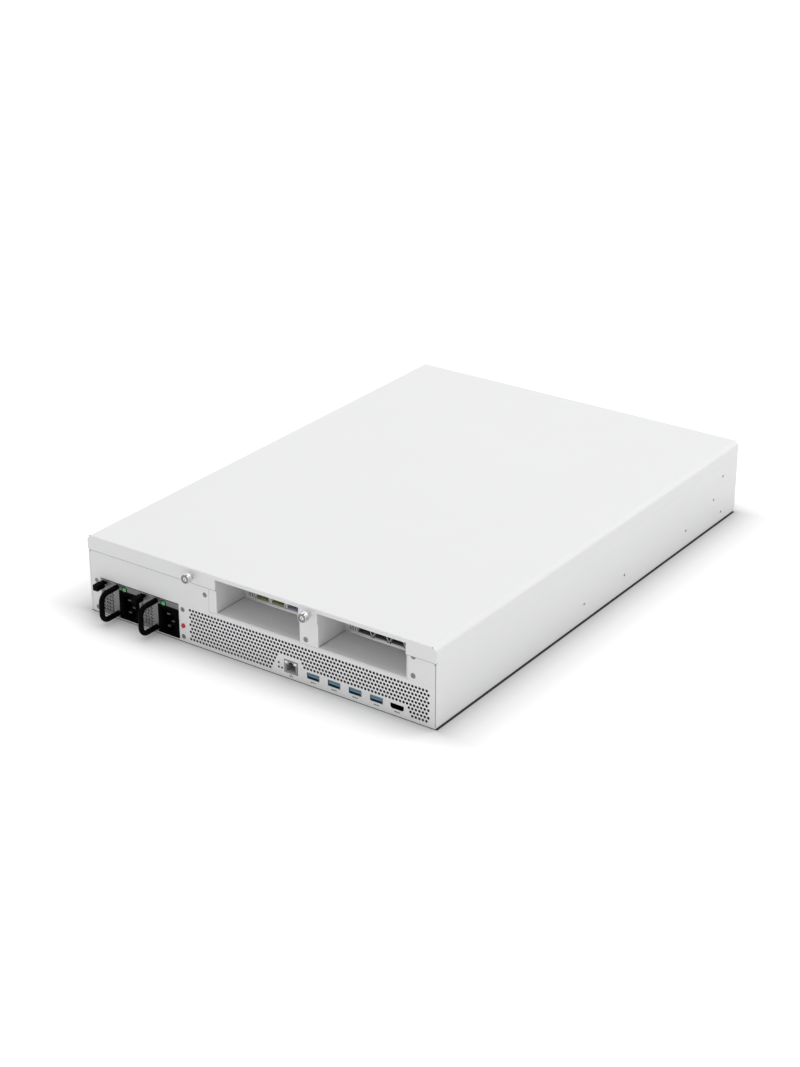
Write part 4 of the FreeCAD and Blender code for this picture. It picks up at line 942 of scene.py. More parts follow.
def make_cage_connectors():
    """Connectors in the port cages, each a shelf with ribs above it and a wall behind."""
    inside = Shape()
    for node, kinds in zip(CAGES, CONNECTOR_KINDS):
        for box, kind in zip(solids(node), kinds):
            wide = inset(box.x, CAGE_WALL + CONNECTOR_GAP)
            low, high = inset(box.z, CAGE_WALL + CONNECTOR_GAP)
            start = box.y[0] + CONNECTOR_START
            end = box.y[0] + CONNECTOR_END
            shelf = low + CONNECTOR_SHELF
            inside.block(wide, (start, end), (low, shelf), kind)
            pitch = (wide[1] - wide[0]) / CONNECTOR_RIBS
            for k in range(CONNECTOR_RIBS):
                rib = span(wide[0] + (k + 0.5) * pitch, CONNECTOR_RIB)
                inside.block(rib, (start + CONNECTOR_RIB_START, end), (shelf, high), kind)
            inside.block(wide, (end, end + CONNECTOR_BACK), (low, high), 2)
    show("cage_connectors", inside, ["olive connector", "slate connector", "dark grey coat"],
         slot="black_plastic")


BRACKET_START = 5.0
BRACKET_GAP = 0.6
BRACKET_Y = (0.2, 1.0)
STROKES = 5
STROKE_START = 1.6
STROKE_PITCH = 2.1
STROKE_END = 1.2
STROKE_Y = (0.12, 0.5)
STROKE = [(0.0, 0), (0.9, 0), (1.7, 1), (0.8, 1)]
LIP_HEIGHT = 2.4
LIP_LEAN = 0.9
LIP_PROUD = 0.3
LIP_ENDS = (8.0, 2.0)
LIP_GAP = 0.1


def make_brackets():
    """Plates with slanted strokes left of the port cages, and leaning lips under the cages."""
    plates, lips = Shape(), Shape()
    back = bounds("card_bays").y[1] - SHEET - LIP_GAP
    for node, bay in zip(CAGES, bay_spans()):
        box = bounds(node)
        mouth = box.y[0]
        low = box.z[0]
        plate = (bay[0] + BRACKET_START, box.x[0] - BRACKET_GAP)
        plates.block(plate, beyond(mouth, BRACKET_Y), box.z)
        ends = inset(box.z, STROKE_END)
        for k in range(STROKES):
            x = plate[0] + STROKE_START + k * STROKE_PITCH
            stroke = [(x + shift, ends[end]) for shift, end in STROKE]
            plates.prism(stroke, "y", beyond(mouth, STROKE_Y), 1)
        front = mouth - LIP_PROUD
        outline = [(front, low - LIP_HEIGHT), (front + LIP_LEAN, low), (back, low),
                   (back, low - LIP_HEIGHT)]
        lips.prism(outline, "x", inset(bay, *LIP_ENDS))
    show("card_brackets", plates, ["pale cage metal", "dark grey coat"], slot="zinc_steel")
    show("bracket_lips", lips, ["satin nickel"], slot="zinc_steel")


BAY_RIVET = [(0.4, 0.5), (0.9, 0.35), (1.2, 0.0)]
BAY_RIVET_INSET = 22.0
CREASE_SHADE_WIDTH = 0.5
CREASE_SHADE_HEIGHT = 0.3


def make_bay_floors():
    """A rivet in each bay's floor, and grey strips of painted shade along the folds where the floor meets
    the walls.
    """
    bays = bounds("card_bays")
    floor = bays.z[0] + SHEET
    rivets, crease_shade = Shape(), Shape()
    for left, right in bay_spans():
        rivets.lathe(BAY_RIVET, "z", ((left + right) / 2, bays.y[0] + BAY_RIVET_INSET), floor)
        for x in ((left, left + CREASE_SHADE_WIDTH), (right - CREASE_SHADE_WIDTH, right)):
            crease_shade.block(x, inset(bays.y, SHEET), (floor, floor + CREASE_SHADE_HEIGHT))
    show("bay_rivets", rivets, ["satin nickel"], slot="zinc_steel")
    show("bay_corners", crease_shade, ["turned grey ring"], slot="dark_steel")


PIPE_RADIUS = 0.36
PIPE_ROOT = 0.2
PIPE_ENDS = (1.0, 0.8)
FILLER_LAP = 0.2
FILLER_PROUD = 0.15
PIPES = (("left_cages", 0.75, 1.0), ("right_cages", 4.5, -0.3))


def make_light_pipes():
    """Pale light pipes between the cages: almost upright on the left, in a V over fillers on the right."""
    pipes, fillers = Shape(), Shape()
    for node, opening, sunk in PIPES:
        cages = solids(node)
        for box, after in zip(cages, cages[1:]):
            gap = (box.x[1] + after.x[0]) / 2
            mouth = box.y[0]
            low, high = inset(box.z, *PIPE_ENDS)
            for lean in (-1, 1):
                root = (gap + lean * PIPE_ROOT, mouth + sunk, low)
                tip = (gap + lean * opening, mouth + sunk, high)
                pipes.tube([root, tip], PIPE_RADIUS, 8)
            if sunk < 0:
                between = inset((box.x[1], after.x[0]), -CAGE_WALL - FILLER_LAP)
                fillers.block(between, (mouth - FILLER_PROUD, mouth), box.z)
    show("cage_fillers", fillers, ["matt black plastic"], slot="black_plastic")
    show("cage_light_pipes", pipes, ["pale light pipe"], slot="socket_shell")


class RACK_OT_card_bays(Operator):
    """Paints the card bays, white flange outside and grey inside, and fills their port cages"""
    bl_idname = "rack_server.card_bays"
    bl_label = "Card Bays"

    def execute(self, context):
        rear = bounds("card_bays").y[0]

        def inside(centre, normal):
            return int(normal.y >= -0.9 or centre.y >= rear + 0.5)

        dress("card_bays", ["white powder coat", "grey bay coat"], 0.2, inside)
        for node in CAGES:
            dress(node, ["pale cage metal"], 0.12)
        make_cage_connectors()
        make_brackets()
        make_bay_floors()
        make_light_pipes()
        return {"FINISHED"}


SCREW_PROUD = 0.35
SCREW_SPREAD = 0.12


class RACK_OT_rear_screws(Operator):
    """Sets the rear screws: flush in the sheet, and proud and wider in the bays' flange"""
    bl_idname = "rack_server.rear_screws"
    bl_label = "Rear Screws"

    def execute(self, context):
        rear, inside = bounds("rear_screws").y
        head = Shape().lathe([(0.55, 0.9), (0.6, 0.35), (2.2, 0.12), (SCREW_RADIUS - 0.1, 0.3),
                              (SCREW_RADIUS, 0.6), (SCREW_RADIUS, inside - rear)], "y", sides=24)
        places, sizes = [], []
        for i, box in enumerate(solids("rear_screws")):
            over = i >= SHEET_SCREWS
            wide = 1.0 + SCREW_SPREAD * over
            places.append((box.middle.x, rear - SCREW_PROUD * over, box.middle.z))
            sizes.append((wide, 1.0, wide))
        repeat("rear_screw_heads", head, places, "dull screw steel", nodes=["rear_screws"], sizes=sizes)
        return {"FINISHED"}


KNOB_TEETH = 40
KNURL = 0.985
KNURLED = (6, 7)
KNOB_SLOT = 1.3
KNOB_SLOT_TURN = math.radians(20)
KNOB_SLOT_Y = (-1.0, 2.6)
KNOB_SLOT_START = 3.3
KNOB_MARK = (0.8, 2.4)
KNOB_MARK_Y = (-1.0, 0.6)
KNOB_SUNK_Y = (0.35, 2.7)
KNOB_RIM = 0.2


def make_thumbscrew(side):
    """A knurled knob with a sunk ring in its end and a slot across it."""
    node = "thumbscrew_" + side
    box = bounds(node)
    tip, root = box.y
    radius = (box.x[1] - box.x[0]) / 2
    middle = box.middle
    profile = [(1.9, 0.1), (2.15, 0.3), (2.2, 0.8), (4.55, 0.8), (4.65, 0.1), (radius - 0.3, 0.0),
               (radius, 0.4), (radius, 5.2), (radius - 0.6, 5.6), (3.6, 5.8), (3.4, 7.5), (2.0, 7.7),
               (2.0, root - tip)]

    def knurl(index, i):
        return KNURL if index in KNURLED and i % 2 else 1.0

    def sunk(centre, normal):
        reach = math.hypot(centre.x - middle.x, centre.z - middle.z)
        start, end = beyond(tip, KNOB_SUNK_Y)
        return int(start < centre.y < end and reach < radius - KNOB_RIM)

    knob = Shape().lathe(profile, "y", (middle.x, middle.z), tip, 2 * KNOB_TEETH, ripple=knurl)
    notch = Shape().block(span(0.0, KNOB_SLOT), beyond(tip, KNOB_SLOT_Y), (KNOB_SLOT_START, 2 * radius))
    notch.block(span(0.0, KNOB_MARK[0]), beyond(tip, KNOB_MARK_Y), span(0.0, KNOB_MARK[1]))
    to_knob = Matrix.Translation((middle.x, 0.0, middle.z)) @ Matrix.Rotation(KNOB_SLOT_TURN, 4, "Y")
    bmesh.ops.transform(notch.bm, matrix=to_knob, verts=notch.bm.verts)
    mesh = cut("knob", knob.mesh("knob"), notch)
    sort_faces(mesh, sunk)
    show(node + "_knob", mesh, ["satin nickel", "turned grey ring"], [node])


class RACK_OT_thumbscrews(Operator):
    """Turns the two knurled thumbscrews and their ferrules"""
    bl_idname = "rack_server.thumbscrews"
    bl_label = "Thumbscrews"

    def execute(self, context):
        for side in SIDES:
            make_thumbscrew(side)
        dress("thumbscrew_ferrules", ["satin nickel"], 0.15)
        return {"FINISHED"}


# Power supplies

HANDLE_CORNER = 9.0
HANDLE_STEPS = 8
HANDLE_SIDES = 20


def handle_path(box):
    """From the face out, up and back, with round corners."""
    x = box.middle.x
    bar = (box.x[1] - box.x[0]) / 2
    turn_y = box.y[0] + bar + HANDLE_CORNER
    root = box.y[1]
    low, high = inset(box.z, bar)
    path = [(x, root, low)]
    for centre_z, start in ((low + HANDLE_CORNER, 270), (high - HANDLE_CORNER, 180)):
        for i in range(HANDLE_STEPS + 1):
            a = math.radians(start - 90 * i / HANDLE_STEPS)
            path.append((x, turn_y + HANDLE_CORNER * math.cos(a), centre_z + HANDLE_CORNER * math.sin(a)))
    path.append((x, root, high))
    return path, bar


BEZEL_Z = (1.8, 34.3)
BEZEL_SIDE = 0.7
BEZEL_DEPTH = 0.5
BEZEL_LAP = 0.1
PIN_REACH = (5.6, 9.2)
PIN_Y = (1.5, 16.0)


def make_inlet(side):
    """The mains inlet with metal pins, in a thin black surround on the supply's face."""
    node = "psu_inlet_" + side
    box = bounds(node)
    mouth = box.y[0]

    def pins(centre, normal):
        away = centre - box.middle
        start, end = beyond(mouth, PIN_Y)
        return int(abs(away.x) < PIN_REACH[0] and abs(away.z) < PIN_REACH[1] and start < centre.y < end)

    # The inlet's body and recess share one near-black coat: black moulding, with painted shade in the
    # recess.
    dress(node, ["unlit hollow", "dull pin metal"], sort=pins)
    face = bounds("psu_case_" + side).y[0]
    left, right = box.x
    low, high = inset(box.z, BEZEL_LAP)
    outer = inset(box.x, -BEZEL_SIDE)
    bezel = Shape()
    for x, z in ((outer, (BEZEL_Z[0], low)), (outer, (high, BEZEL_Z[1])),
                 ((outer[0], left + BEZEL_LAP), box.z), ((right - BEZEL_LAP, outer[1]), box.z)):
        bezel.block(x, (face - BEZEL_DEPTH, face), z)
    show("psu_bezel_" + side, bezel, ["black moulded plastic"], slot="black_plastic", body=BODY_OF[node])


LENS_RADIUS = 2.8
RING_RADIUS = 3.8


def make_lamp(side):
    """A domed green lens in a dark ring."""
    node = "psu_lamp_" + side
    box = bounds(node)
    tip, root = box.y
    centre = (box.middle.x, box.middle.z)
    dome = [(0.5, 0.0), (1.3, 0.12), (2.0, 0.4), (LENS_RADIUS, 0.8), (LENS_RADIUS, 2.0)]
    ring = [(LENS_RADIUS, 1.6), (LENS_RADIUS, 0.5), (LENS_RADIUS + 0.25, 0.3), (RING_RADIUS - 0.3, 0.35),
            (RING_RADIUS, 0.7), (RING_RADIUS, root - tip), (LENS_RADIUS, root - tip)]
    lens = Shape()
    for kind, profile in enumerate((dome, ring)):
        lens.lathe(profile, "y", centre, tip, 28, kind)
    show(node + "_lens", lens, ["green lens", "dark green ring"], [node])


def wire_screen(name, x, z, y, pitch, wire, finish_name, slot, body="chassis"):
    """Fine crossed wires over a reach along X and Z."""
    rod = Shape().block(span(0.0, wire), span(0.0, wire), span(0.0, 1.0))
    wide, tall = x[1] - x[0], z[1] - z[0]
    across, upright = int(wide / pitch) + 1, int(tall / pitch) + 1
    places = [(x[0] + i * pitch, y, (z[0] + z[1]) / 2) for i in range(across)]
    places += [((x[0] + x[1]) / 2, y + 0.6 * wire, z[0] + i * pitch) for i in range(upright)]
    sizes = [(1.0, 1.0, tall)] * across + [(1.0, 1.0, wide)] * upright
    turns = [(0.0, 0.0, 0.0)] * across + [(0.0, math.pi / 2, 0.0)] * upright
    repeat(name, rod, places, finish_name, slot=slot, body=body, turns=turns, sizes=sizes)


SCREEN_PITCH = 1.45
SCREEN_WIRE = 0.42
SCREEN_WIDTH = 24.0
SCREEN_DEPTH = 1.3
SCREEN_START = 2.0
SCREEN_ENDS = (2.0, 3.0)
TRIM_START = 1.2
LATCH_SLOT_FOOT = [(0.0, 1.6), (4.6, 2.4)]
LATCH_SLOT_HEAD = [(8.4, -0.6), (7.4, 0.6), (0.0, 0.6)]
LATCH_SLOT_Y = (-0.12, 0.2)
TOP_LIPS = [(0.0, 7.0), (9.0, 17.0)]
TOP_LIP_Y = (-0.45, 0.3)
TOP_LIP_Z = (-1.0, -0.15)
SIDE_LIP = (0.15, 0.8)
SIDE_LIP_Y = (-0.35, 0.3)
SIDE_LIP_ENDS = (9.0, 10.0)


def make_face_trim(side, case, body):
    """A dark block painted as the shade in the slot that the latch comes out of, and bright folded lips
    along the case's top and side.
    """
    low, high = bounds("psu_latch_" + side).z
    face = case.y[0]
    left = case.x[0] + TRIM_START
    outline = [(left + u, low + v) for u, v in LATCH_SLOT_FOOT]
    outline += [(left + u, high + v) for u, v in LATCH_SLOT_HEAD]
    slot = Shape().prism(outline, "y", beyond(face, LATCH_SLOT_Y))
    show("psu_latch_slot_" + side, slot, ["unlit hollow"], slot="black_plastic", body=body)
    lip = Shape()
    for reach in TOP_LIPS:
        lip.block(beyond(left, reach), beyond(face, TOP_LIP_Y), beyond(case.z[1], TOP_LIP_Z))
    lip.block(beyond(case.x[0], SIDE_LIP), beyond(face, SIDE_LIP_Y), inset(case.z, *SIDE_LIP_ENDS))
    show("psu_lip_" + side, lip, ["zinc plated steel"], slot="zinc_steel", body=body, edge=0.12)


CASE_SLOTS = 9
CASE_SLOT_PITCH = 8.0
CASE_SLOT_WIDTH = 2.6
CASE_SLOT_DEPTH = 1.0
CASE_SLOT_START = 22.0
CASE_SLOT_ROUND = 1.2
CASE_TOP_SLOT = 36.0
CASE_SIDE_SLOT = 24.0
CASE_SCREW_INSET = 4.0
CASE_SCREW_ENDS = (18.0, 8.0)
CASE_SCREW = [(0.7, -0.5), (0.8, 0.05), (1.9, 0.12), (2.3, 0.0), (2.3, -0.5)]


def make_case(side, case, body):
    """Supply case with blind vent slots on its top and sides, and flat screws in its top."""
    top = case.z[1]
    cuts = Shape()
    for k in range(CASE_SLOTS):
        run = span(case.y[1] - CASE_SLOT_START - k * CASE_SLOT_PITCH, CASE_SLOT_WIDTH)
        flat = rounded(span(case.middle.x, CASE_TOP_SLOT), run, CASE_SLOT_ROUND)
        cuts.prism(flat, "z", (top - CASE_SLOT_DEPTH, top + 1.0))
        upright = rounded(run, span(case.middle.z, CASE_SIDE_SLOT), CASE_SLOT_ROUND)
        for x, way in zip(case.x, (1, -1)):
            cuts.prism(upright, "x", (x - way, x + way * CASE_SLOT_DEPTH))
    vents = case.y[1] - CASE_SLOT_START - CASE_SLOTS * CASE_SLOT_PITCH

    def slot_walls(centre, normal):
        deep = min(centre.x - case.x[0], case.x[1] - centre.x, top - centre.z)
        return int(centre.y > vents and 0.05 < deep < CASE_SLOT_DEPTH + 0.05)

    # The slots are blind: their walls and floors take the same near-black coat, painted shade in place of
    # open slots.
    dress("psu_case_" + side, ["supply case steel", "shaded hole wall"], 0.3, slot_walls, cuts)
    places = [(x, y, top) for x in inset(case.x, CASE_SCREW_INSET)
              for y in inset(case.y, *CASE_SCREW_ENDS)]
    repeat("psu_case_screws_" + side, Shape().lathe(CASE_SCREW, "z", sides=18), places, "dull screw steel",
           slot="screw_steel", body=body)


LATCH_PAD = 6.4
LATCH_SLEEVE = 0.3
LATCH_PAD_GAP = 2.0


def make_latch(side, face):
    """The release tab in a wider thumb pad."""
    node = "psu_latch_" + side
    dress(node, ["black moulded plastic"], 0.35)
    box = bounds(node)
    left, tip = box.x[0], box.y[0]
    pad = Shape().block((left - LATCH_SLEEVE, left + LATCH_PAD), (tip - LATCH_SLEEVE, face - LATCH_PAD_GAP),
                        inset(box.z, -LATCH_SLEEVE))
    show(node + "_pad", pad, ["black moulded plastic"], slot="black_plastic", body=BODY_OF[node], edge=0.5)


def make_supply(side):
    case = bounds("psu_case_" + side)
    body = BODY_OF["psu_case_" + side]
    make_case(side, case, body)
    make_face_trim(side, case, body)
    handle = "psu_handle_" + side
    bar = Shape().tube(*handle_path(bounds(handle)), HANDLE_SIDES)
    show(handle + "_bar", bar, ["black moulded plastic"], [handle])
    make_inlet(side)
    make_lamp(side)
    left = case.x[0] + SCREEN_START
    wire_screen("psu_screen_" + side, (left, left + SCREEN_WIDTH), inset(case.z, *SCREEN_ENDS),
                case.y[0] + SCREEN_DEPTH, SCREEN_PITCH, SCREEN_WIRE, "satin nickel", "zinc_steel", body)
    make_latch(side, case.y[0])


def make_alarm():
    """A small red push button with a crowned end."""
    box = bounds("alarm_button")
    tip, root = box.y
    cap = Shape().lathe([(0.6, 0.0), (1.8, 0.12), (ALARM_RADIUS, 0.5), (ALARM_RADIUS, root - tip)], "y",
                        (box.middle.x, box.middle.z), tip, 32)
    show("alarm_cap", cap, ["red plastic"], ["alarm_button"])


PLUG_CELLS = 12
PLUG_CELL = 4.2
PLUG_MOUTH = 3.0
PLUG_HEIGHT = 12.6
PLUG_FLOOR = 4.0
SUPPLY_PLUG_INSET = 30.0
SUPPLY_PLUG_PITCH = 50.0
SUPPLY_PLUG_RISE = 6.0


def plug(columns, rows):
    """A block of square sockets, open along Z."""
    shape = Shape()
    for i in range(columns):
        for j in range(rows):
            u = (i - (columns - 1) / 2) * PLUG_CELL
            v = (j - (rows - 1) / 2) * PLUG_CELL
            outer, inner = (rect(span(u, size), span(v, size)) for size in (PLUG_CELL, PLUG_MOUTH))
            shape.cup(outer, inner, "z", (0.0, PLUG_HEIGHT, PLUG_FLOOR))
    return shape


class RACK_OT_power_supplies(Operator):
    """Dresses both power supplies and their board, and makes the alarm button"""
    bl_idname = "rack_server.power_supplies"
    bl_label = "Power Supplies"

    def execute(self, context):
        for side in SIDES:
            make_supply(side)
        dress("psu_cage", ["zinc plated steel"], 0.2)
        dress("power_board", [BOARD], 0.1)
        plate = bounds("power_board")
        first = (plate.x[0] + SUPPLY_PLUG_INSET, plate.y[1], plate.middle.z + SUPPLY_PLUG_RISE)
        places = row(first, (SUPPLY_PLUG_PITCH, 0.0, 0.0), 2)
        turns = [(-math.pi / 2, 0.0, 0.0)] * len(places)
        repeat("supply_plugs", plug(PLUG_CELLS, 2), places, "matt black plastic", slot="black_plastic",
               turns=turns)
        make_alarm()
        return {"FINISHED"}


# Connectors

SOCKET_FLOOR = 1.0
SOCKET_FOOT_ENDS = (1.5, 0.5)
USB_SHELL = 0.35
USB_ROUND = (0.6, 0.4)
USB_FOOT_INSET = 1.0
USB_FOOT_LAP = 0.2
USB_TONGUE_INSET = 0.7
USB_TONGUE_ENDS = (0.7, 1.2)
USB_TONGUE_Z = (-3.9, -0.6)
USB_SLIT_INSET = 0.8
USB_SLIT_Y = (0.62, 1.2)
USB_SLIT_Z = (-2.2, -1.6)
USB_PINS = 4
USB_PIN = 1.0
USB_PIN_PITCH = 2.4
USB_PIN_ENDS = (1.6, 1.4)
USB_PIN_Z = (-4.02, -3.8)


def make_usb():
    """Thin metal shells, each with a blue tongue and a row of contacts. The shells' insides, their feet and
    the slit across each tongue take a dark blue moulding colour, which inside the shells is painted shade
    of the hollow.
    """
    shells, tongues = Shape(), Shape()
    for box in solids("usb_sockets"):
        x = box.middle.x
        face, back = box.y
        top = box.z[1]
        low = top - USB_HEIGHT
        outer = rounded(box.x, (low, top), USB_ROUND[0], 3)
        inner = rounded(inset(box.x, USB_SHELL), inset((low, top), USB_SHELL), USB_ROUND[1], 3)
        shells.cup(outer, inner, "y", (back, face, back - SOCKET_FLOOR), 0, 1)
        shells.block(inset(box.x, USB_FOOT_INSET), inset(box.y, *SOCKET_FOOT_ENDS),
                     (box.z[0], low + USB_FOOT_LAP), 1)
        tongue = inset(box.x, USB_TONGUE_INSET)
        tongues.block(tongue, inset(box.y, *USB_TONGUE_ENDS), beyond(top, USB_TONGUE_Z), 0)
        tongues.block(inset(tongue, USB_SLIT_INSET), beyond(face, USB_SLIT_Y), beyond(top, USB_SLIT_Z), 1)
        for k in range(USB_PINS):
            pin = x + (k - (USB_PINS - 1) / 2) * USB_PIN_PITCH
            tongues.block(span(pin, USB_PIN), inset(box.y, *USB_PIN_ENDS), beyond(top, USB_PIN_Z), 2)
    show("usb_shells", shells, ["dull screw steel", "dark socket moulding"], ["usb_sockets"])
    show("usb_tongues", tongues, ["blue tongue", "dark socket moulding", "gold contacts"],
         slot="socket_shell", edge=0.1)


JACK_DEPTH = 12.0
JACK_MOUTH = [(5.9, 4.6), (3.1, 4.6), (3.1, 2.6), (1.6, 2.6), (1.6, 1.5)]
JACK_FLOOR = 2.0
JACK_WALL = 0.5
JACK_RIM = 0.2
JACK_PINS = 8
JACK_PIN = 0.45
JACK_PIN_PITCH = 1.02
JACK_PIN_ENDS = (1.8, 0.3)
JACK_PIN_Z = (-5.2, -4.7)
JACK_LAMP = 3.2
JACK_LAMP_ASIDE = 5.6
JACK_LAMP_Y = (-0.12, 1.0)
JACK_LAMP_Z = (-3.4, -1.2)


def make_jack():
    """Metal network jack with a stepped mouth, two lamp windows and spring contacts."""
    box = bounds("lan_jack")
    face = box.y[0]
    x = box.middle.x
    low, top = box.z
    deep = face + JACK_DEPTH
    half = [(JACK_MOUTH[0][0], low + JACK_FLOOR)] + [(aside, top - drop) for aside, drop in JACK_MOUTH]
    mouth = [(x + u, v) for u, v in half] + [(x - u, v) for u, v in reversed(half)]
    shell = Shape().block(box.x, box.y, box.z)
    mesh = cut("jack", shell.mesh("jack"), Shape().prism(mouth, "y", (face - 1.0, deep)))
    room = [inset(box.x, JACK_WALL), (face + JACK_RIM, deep + JACK_WALL), inset(box.z, JACK_WALL)]
    sort_faces(mesh, lambda centre, normal: int(all(r[0] < c < r[1] for r, c in zip(room, centre))))
    show("lan_shell", mesh, ["grey steel", "grey jack moulding"], ["lan_jack"], edge=0.15)
    parts = Shape()
    for side in (-1, 1):
        parts.block(span(x + side * JACK_LAMP_ASIDE, JACK_LAMP), beyond(face, JACK_LAMP_Y),
                    beyond(top, JACK_LAMP_Z), 0)
    for k in range(JACK_PINS):
        pin = x + (k - (JACK_PINS - 1) / 2) * JACK_PIN_PITCH
        parts.block(span(pin, JACK_PIN), inset((face, deep), *JACK_PIN_ENDS), beyond(top, JACK_PIN_Z), 1)
    show("lan_lamps_and_pins", parts, ["pale light pipe", "dull pin metal"], slot="socket_shell")


HDMI_SHELL = 0.35
HDMI_TONGUE = (10.4, 0.9)
HDMI_TONGUE_DROP = 2.4
HDMI_FOOT = (12.0, 1.6)


def make_hdmi():
    """A thin shell with a flat tongue, all near-black: black moulding, with painted shade for the recess.
    """
    box = bounds("hdmi_socket")
    face, back = box.y
    shell = Shape().cup(hdmi_outline(), hdmi_outline(-HDMI_SHELL), "y",
                        (back, face, back - SOCKET_FLOOR))
    shell.block(span(box.middle.x, HDMI_TONGUE[0]), inset(box.y, SOCKET_FLOOR),
                span(box.z[1] - HDMI_TONGUE_DROP, HDMI_TONGUE[1]))
    shell.block(span(box.middle.x, HDMI_FOOT[0]), inset(box.y, *SOCKET_FOOT_ENDS),
                (box.z[0], box.z[0] + HDMI_FOOT[1]))
    show("hdmi_shell", shell, ["unlit hollow"], ["hdmi_socket"])


MARK_HEIGHT = 1.1
MARK_Z = 4.2
SOCKET_MARK = [(-2.0, 2.4), (0.5, 1.6), (2.4, 1.4)]
JACK_MARK = [(0.0, 4.2), (-1.3, 2.6), (1.3, 2.6)]
JACK_MARK_LENGTH = 1.5


def make_marks():
    """Plain printed bars under the sockets, and dark lamps behind the three small holes."""
    face = bounds("io_panel").y[0]
    bar = Shape().block(span(0.0, 1.0), (-0.03, 0.02), span(0.0, 1.0))
    marks = []
    for box in solids("usb_sockets") + solids("hdmi_socket"):
        marks += [(box.middle.x + shift, MARK_Z, length) for shift, length in SOCKET_MARK]
    jack = bounds("lan_jack").middle.x
    marks += [(jack + shift, z, JACK_MARK_LENGTH) for shift, z in JACK_MARK]
    places = [(x, face, z) for x, z, length in marks]
    sizes = [(length, 1.0, MARK_HEIGHT) for x, z, length in marks]
    repeat("socket_marks", bar, places, "grey marking ink", slot="dark_steel", sizes=sizes)
    wide = STATUS_HOLE / 2 - 0.05
    lamps = Shape()
    for place in STATUS_HOLES:
        lamps.lathe([(0.4, 0.5), (wide, 0.7), (wide, 3.0)], "y", place, face)
    show("status_lamps", lamps, ["dark green ring"], slot="green_lens")


class RACK_OT_connectors(Operator):
    """Makes the network jack, the USB sockets, the HDMI socket and their marks"""
    bl_idname = "rack_server.connectors"
    bl_label = "Connectors"

    def execute(self, context):
        make_usb()
        make_jack()
        make_hdmi()
        make_marks()
        return {"FINISHED"}


# Boards and coolers

BOARD_SEED = 4
SMALL_PARTS = 420
CARD_PARTS = 90
SMALL_PART = (1.6, 0.8, 0.6)
PART_MARGIN = 2.0


def free_places(plate, taken, count, seed):
    """Seeded places on a board, clear of what already stands there."""
    dice = random.Random(seed)
    rooms = [(inset(box.x, -PART_MARGIN), inset(box.y, -PART_MARGIN)) for box in taken]
    places = []
    while len(places) < count:
        x = dice.uniform(*inset(plate.x, PART_MARGIN))
        y = dice.uniform(*inset(plate.y, PART_MARGIN))
        if not any(u[0] < x < u[1] and v[0] < y < v[1] for u, v in rooms):
            places.append((x, y, plate.z[1]))
    return places


def scatter(name, plate, taken, count, seed):
    """Small parts of two kinds between the large ones, lying along or across the board."""
    for kind, finish_name in (("dark", "moulded chip"), ("pale", "tan ceramic")):
        places = free_places(plate, taken, count, "%s %d" % (kind, seed))
        turns = [(0.0, 0.0, math.pi / 2 * (i % 2)) for i in range(count)]
        repeat("%s_%s_parts" % (name, kind), upright_block(*SMALL_PART), places, finish_name, slot="board",
               turns=turns)


def upright_block(width, depth, height):
    """A block that stands on the origin."""
    return Shape().block(span(0.0, width), span(0.0, depth), (0.0, height))


def stand(name, shape, size, places, finish_name, slot, taken, edge=0.3):
    """Copies of one part on a board, whose taken room grows by each of them."""
    repeat(name, shape, places, finish_name, slot=slot, edge=edge)
    half = Vector((size[0] / 2, size[1] / 2, 0.0))
    taken.extend(Box(Vector(place) - half, Vector(place) + half) for place in places)


CHOKE = (9.0, 9.0, 7.5)
CHIP = (14.0, 14.0, 1.6)
SMALL_CHIP = (5.0, 6.2, 1.5)
SLOT = (7.4, 89.0, 11.2)
SLOT_MOUTH = (2.0, 84.0, 0.1)
CAN = [(3.1, 0.0), (3.1, 0.8), (2.85, 1.1), (3.1, 1.4), (3.1, 7.6), (2.7, 8.0), (0.6, 8.0)]
CAN_PITCH = 8.0
CELL = [(9.0, 0.0), (11.4, 0.0), (11.4, 3.4), (10.4, 3.6), (10.0, 2.8), (9.9, 4.6), (9.2, 5.0), (0.8, 5.0)]
POST_SCREW = [(0.9, 1.0), (0.9, 1.9), (2.0, 2.0), (2.9, 1.4), (3.1, 0.6), (3.1, 0.0)]
HUB_COOLER = 38.0
HUB_BASE = 3.0
HUB_TOP = 14.0
HUB_FINS = 11
HUB_FIN_PITCH = 3.6
STANDING = ("processor", "memory_sockets", "card_risers", "usb_sockets", "lan_jack", "hdmi_socket")


def make_processor_parts(plate, cpu, taken):
    """Chokes and cans in rows by the processor."""
    top = plate.z[1]
    first = cpu.x - 36.0
    choke = Shape().prism(rounded(span(0.0, CHOKE[0]), span(0.0, CHOKE[1]), 1.2, 2), "z", (0.0, CHOKE[2]))
    chokes = row((first, cpu.y - 52.0, top), (10.3, 0.0, 0.0), 8)
    stand("board_chokes", choke, CHOKE, chokes, "dark grey coat", "black_plastic", taken)
    cans = row((first, cpu.y - 62.0, top), (CAN_PITCH, 0.0, 0.0), 10)
    cans += row((first, cpu.y + 58.0, top), (CAN_PITCH, 0.0, 0.0), 10)
    cans += row((plate.x[0] + 14.0, cpu.y - 40.0, top), (0.0, 12.0, 0.0), 3)
    stand("board_cans", Shape().lathe(CAN, "z"), (6.2, 6.2), cans, "extruded aluminium", "fin_aluminium",
          taken, 0.0)


